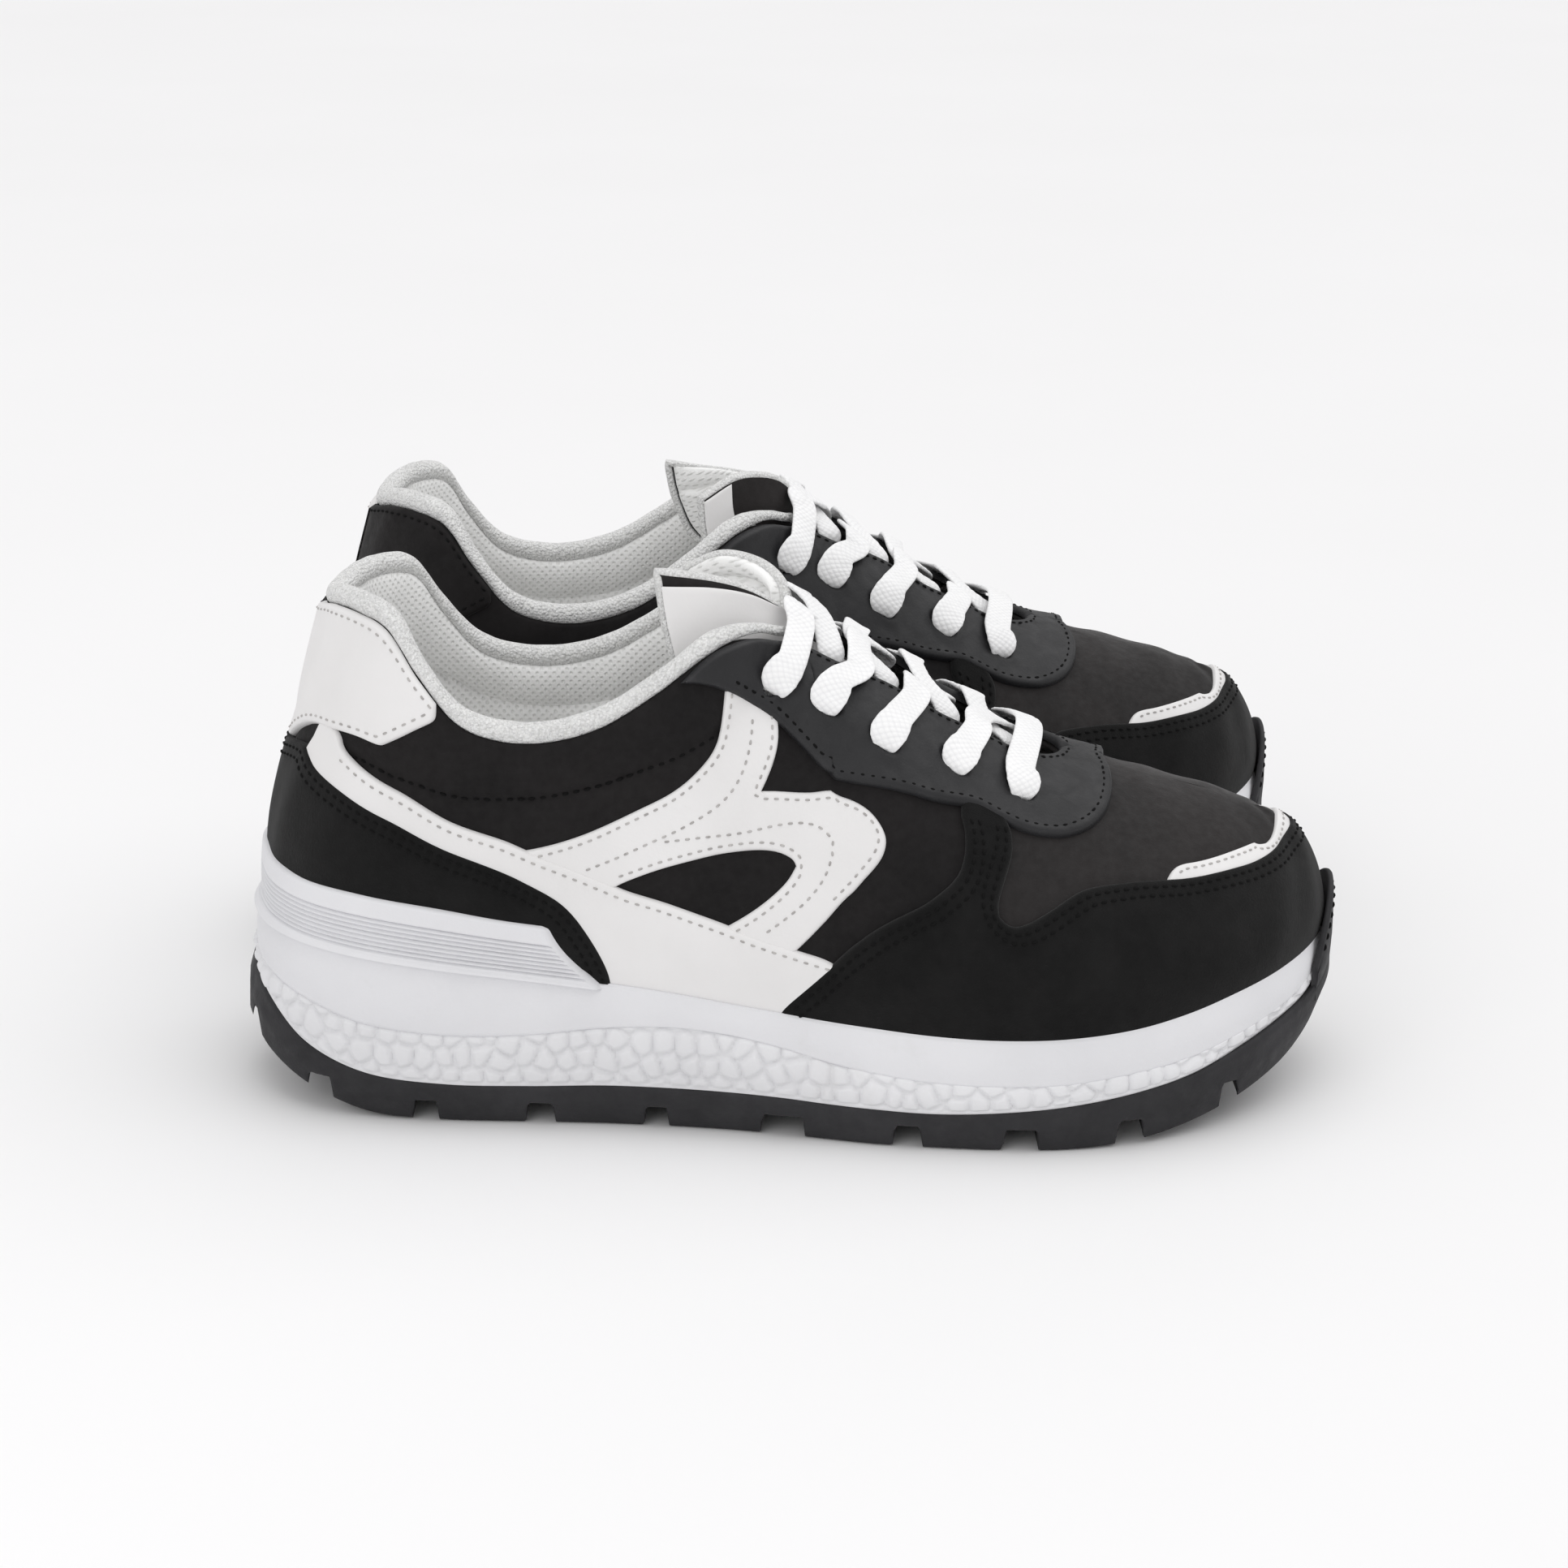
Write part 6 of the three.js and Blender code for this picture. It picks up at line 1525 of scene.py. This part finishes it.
    # threads: the black thread is black; the white thread is coloured a mid grey, which is white thread with painted
    # shade from its stitch holes
    # thread_white's grey colours are painted shade on a white thread
    for nm, dk, lt in (("thread_white", (0.40, 0.385, 0.375), (0.55, 0.535, 0.52)), ("thread_black", (0.0022, 0.0022, 0.0022), (0.0045, 0.0044, 0.0044))):
        m, nt, N_, Lk, sh, tc = mat(nm, None, 0.8, spec=0.18)
        c, n = variation(N_, Lk, tc, 500, dk, lt)
        tw = noise(N_, Lk, tc, 4200, 2)
        Lk.new(c, sh.inputs["Base Color"])
        rough_from(N_, Lk, sh, n.outputs["Fac"], 0.75, 0.9)
        bumps(N_, Lk, sh, [(tw.outputs["Fac"], 0.0002, 0.6)])
        MATS[nm] = m


build_materials()

# ---------------------------------------------------------------- into the row frame
TOE_OUT = math.radians(3.29)


def turned(P, left):
    """Shoe frame to the turned frame of the pair, before the shift, in millimetres."""
    x, y, z = P[:, 0] - 140, P[:, 1] * (-1 if left else 1), P[:, 2]
    a = TOE_OUT * (1 if left else -1)
    c, s = math.cos(a), math.sin(a)
    return np.stack([x * c - y * s, x * s + y * c, z], 1)


def shift(left):
    """Where the CAD stands the shoe: the middle of its outsole against that of the same rings here."""
    lin = lambda l, u: np.interp(u, np.arange(23), l)
    w = np.arange(44.0)
    u = np.where(w <= N, w, 44 - w)
    og, ol = np.array(O_GROUND), np.array(O_LOW)
    R = [ring_at(w, lin(o, u), lin(z, u)) for o, z in ((og, ZB), ((og + ol) / 2 + 0.8, ZT), (ol, ZT))]
    P = turned(np.vstack(R), left)
    lo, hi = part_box(("left" if left else "right") + "_outsole")
    mid = (np.array(lo) + np.array(hi)) / 2 * 1000
    c = (P.min(0) + P.max(0)) / 2
    return np.array([mid[0] - c[0], mid[1] - c[1], 0.0])


SHIFT = {s: shift(s) for s in (False, True)}
TO_ROW = {s: (lambda P, s=s: (turned(np.asarray(P, float), s) + SHIFT[s]) / 1000) for s in (False, True)}
DONE = {}
for left in (False, True):
    side = "left" if left else "right"
    for name, d in PIECES.items():
        V = d["v"]
        if left and d["body"] == "tongue":  # this one's outer corner is pressed down a little
            V = V.copy()
            V[:, 2] -= 7.0 * smooth(106, 134, V[:, 2]) * smooth(3, 17, -V[:, 1])
        V = TO_ROW[left](V)
        me = bpy.data.meshes.new(f"{side}_{name}_mesh")
        F = d["f"] if not left else [q[::-1] for q in d["f"]]
        me.from_pydata(V.tolist(), [], F)
        if d["uv"] is not None:
            lay = me.uv_layers.new(name="flat_mm")
            li = np.zeros(len(me.loops), np.int32)
            me.loops.foreach_get("vertex_index", li)
            lay.data.foreach_set("uv", (np.asarray(d["uv"], float)[li] / 1000).astype(np.float32).ravel())
        me.validate()
        o = bpy.data.objects.new(f"vis_{side}_{name}", me)
        bpy.context.scene.collection.objects.link(o)
        import bmesh
        bm = bmesh.new()
        bm.from_mesh(me)
        if d["weld"]:
            bmesh.ops.remove_doubles(bm, verts=bm.verts, dist=d["weld"] / 1000)
        bmesh.ops.recalc_face_normals(bm, faces=bm.faces)
        bm.to_mesh(me)
        bm.free()
        for p in me.polygons:
            p.use_smooth = True
        me.materials.append(MATS[d["mat"]])
        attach(o, f"{side}_{d['body']}")
        if d["nodes"]:
            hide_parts(*[f"{side}_{n}" for n in d["nodes"]])
        DONE[o.name] = o
        me.set_sharp_from_angle(angle=math.radians(62))

# ---------------------------------------------------------------- floor, light, camera
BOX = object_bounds()
W = bpy.data.meshes.new("floor_mesh")
n = 40
xs = np.sign(np.linspace(-1, 1, n)) * np.abs(np.linspace(-1, 1, n)) ** 2.5 * 14
W.from_pydata([(float(a), float(b), -0.0002) for a in xs for b in xs], [], [(i * n + j, (i + 1) * n + j, (i + 1) * n + j + 1, i * n + j + 1) for i in range(n - 1) for j in range(n - 1)])
floor = bpy.data.objects.new("floor", W)
bpy.context.scene.collection.objects.link(floor)
fm, nt, N_, Lk, sh, tc = mat("floor_pale", None, 0.6, spec=0.3)
c, nn = variation(N_, Lk, tc, 3, (0.895, 0.893, 0.895), (0.905, 0.903, 0.906))
Lk.new(c, sh.inputs["Base Color"])
fn = noise(N_, Lk, tc, 900, 2)
bumps(N_, Lk, sh, [(fn.outputs["Fac"], 0.00004, 0.2)])
W.materials.append(fm)

world = bpy.data.worlds.new("studio")
bpy.context.scene.world = world
world.use_nodes = True
world.node_tree.nodes["Background"].inputs[0].default_value = (1.0, 0.995, 1.0, 1)
world.node_tree.nodes["Background"].inputs[1].default_value = 0.68


def area(name, loc, target, size, power, sy=None):
    l = bpy.data.lights.new(name, "AREA")
    l.shape = "RECTANGLE"
    l.size, l.size_y = size, sy or size
    l.energy = power
    o = bpy.data.objects.new(name, l)
    o.location = loc
    o.rotation_mode = "QUATERNION"
    o.rotation_quaternion = (Vector(target) - Vector(loc)).to_track_quat("-Z", "Y")
    bpy.context.scene.collection.objects.link(o)


sun = bpy.data.lights.new("top_soft", "SUN")
sun.energy = 1.12
sun.angle = math.radians(75)
so = bpy.data.objects.new("top_soft", sun)
so.rotation_mode = "QUATERNION"
so.rotation_quaternion = Vector((-0.35, -0.10, -1.0)).to_track_quat("-Z", "Y")
bpy.context.scene.collection.objects.link(so)
area("front_left_soft", (-0.9, -1.3, 0.9), (0, 0, 0.05), 1.2, 5.0)

cam_data = bpy.data.cameras.new("camera")
cam = bpy.data.objects.new("camera", cam_data)
bpy.context.scene.collection.objects.link(cam)
bpy.context.scene.camera = cam
cam_data.sensor_width = 36
cam_data.lens = 36 * 4068.88 / 1932
cam_data.clip_start, cam_data.clip_end = 0.02, 50
C0 = TO_ROW[False](np.array([[123.397, -777.051, 343.554]]))[0]
yaw, pitch, roll = math.radians(-0.96 - 3.29), math.radians(19.136), math.radians(0.30)
fwd = np.array([-math.sin(yaw) * math.cos(pitch), math.cos(yaw) * math.cos(pitch), -math.sin(pitch)])
rt = np.array([math.cos(yaw), math.sin(yaw), 0])
upv = np.cross(rt, fwd)
Rt = rt * math.cos(roll) + upv * math.sin(roll)
Up = -rt * math.sin(roll) + upv * math.cos(roll)
M4 = Matrix(((Rt[0], Up[0], -fwd[0], C0[0]), (Rt[1], Up[1], -fwd[1], C0[1]), (Rt[2], Up[2], -fwd[2], C0[2]), (0, 0, 0, 1)))
cam.matrix_world = M4

bpy.context.scene.view_settings.view_transform = "Standard"
bpy.context.scene.view_settings.exposure = 0.0
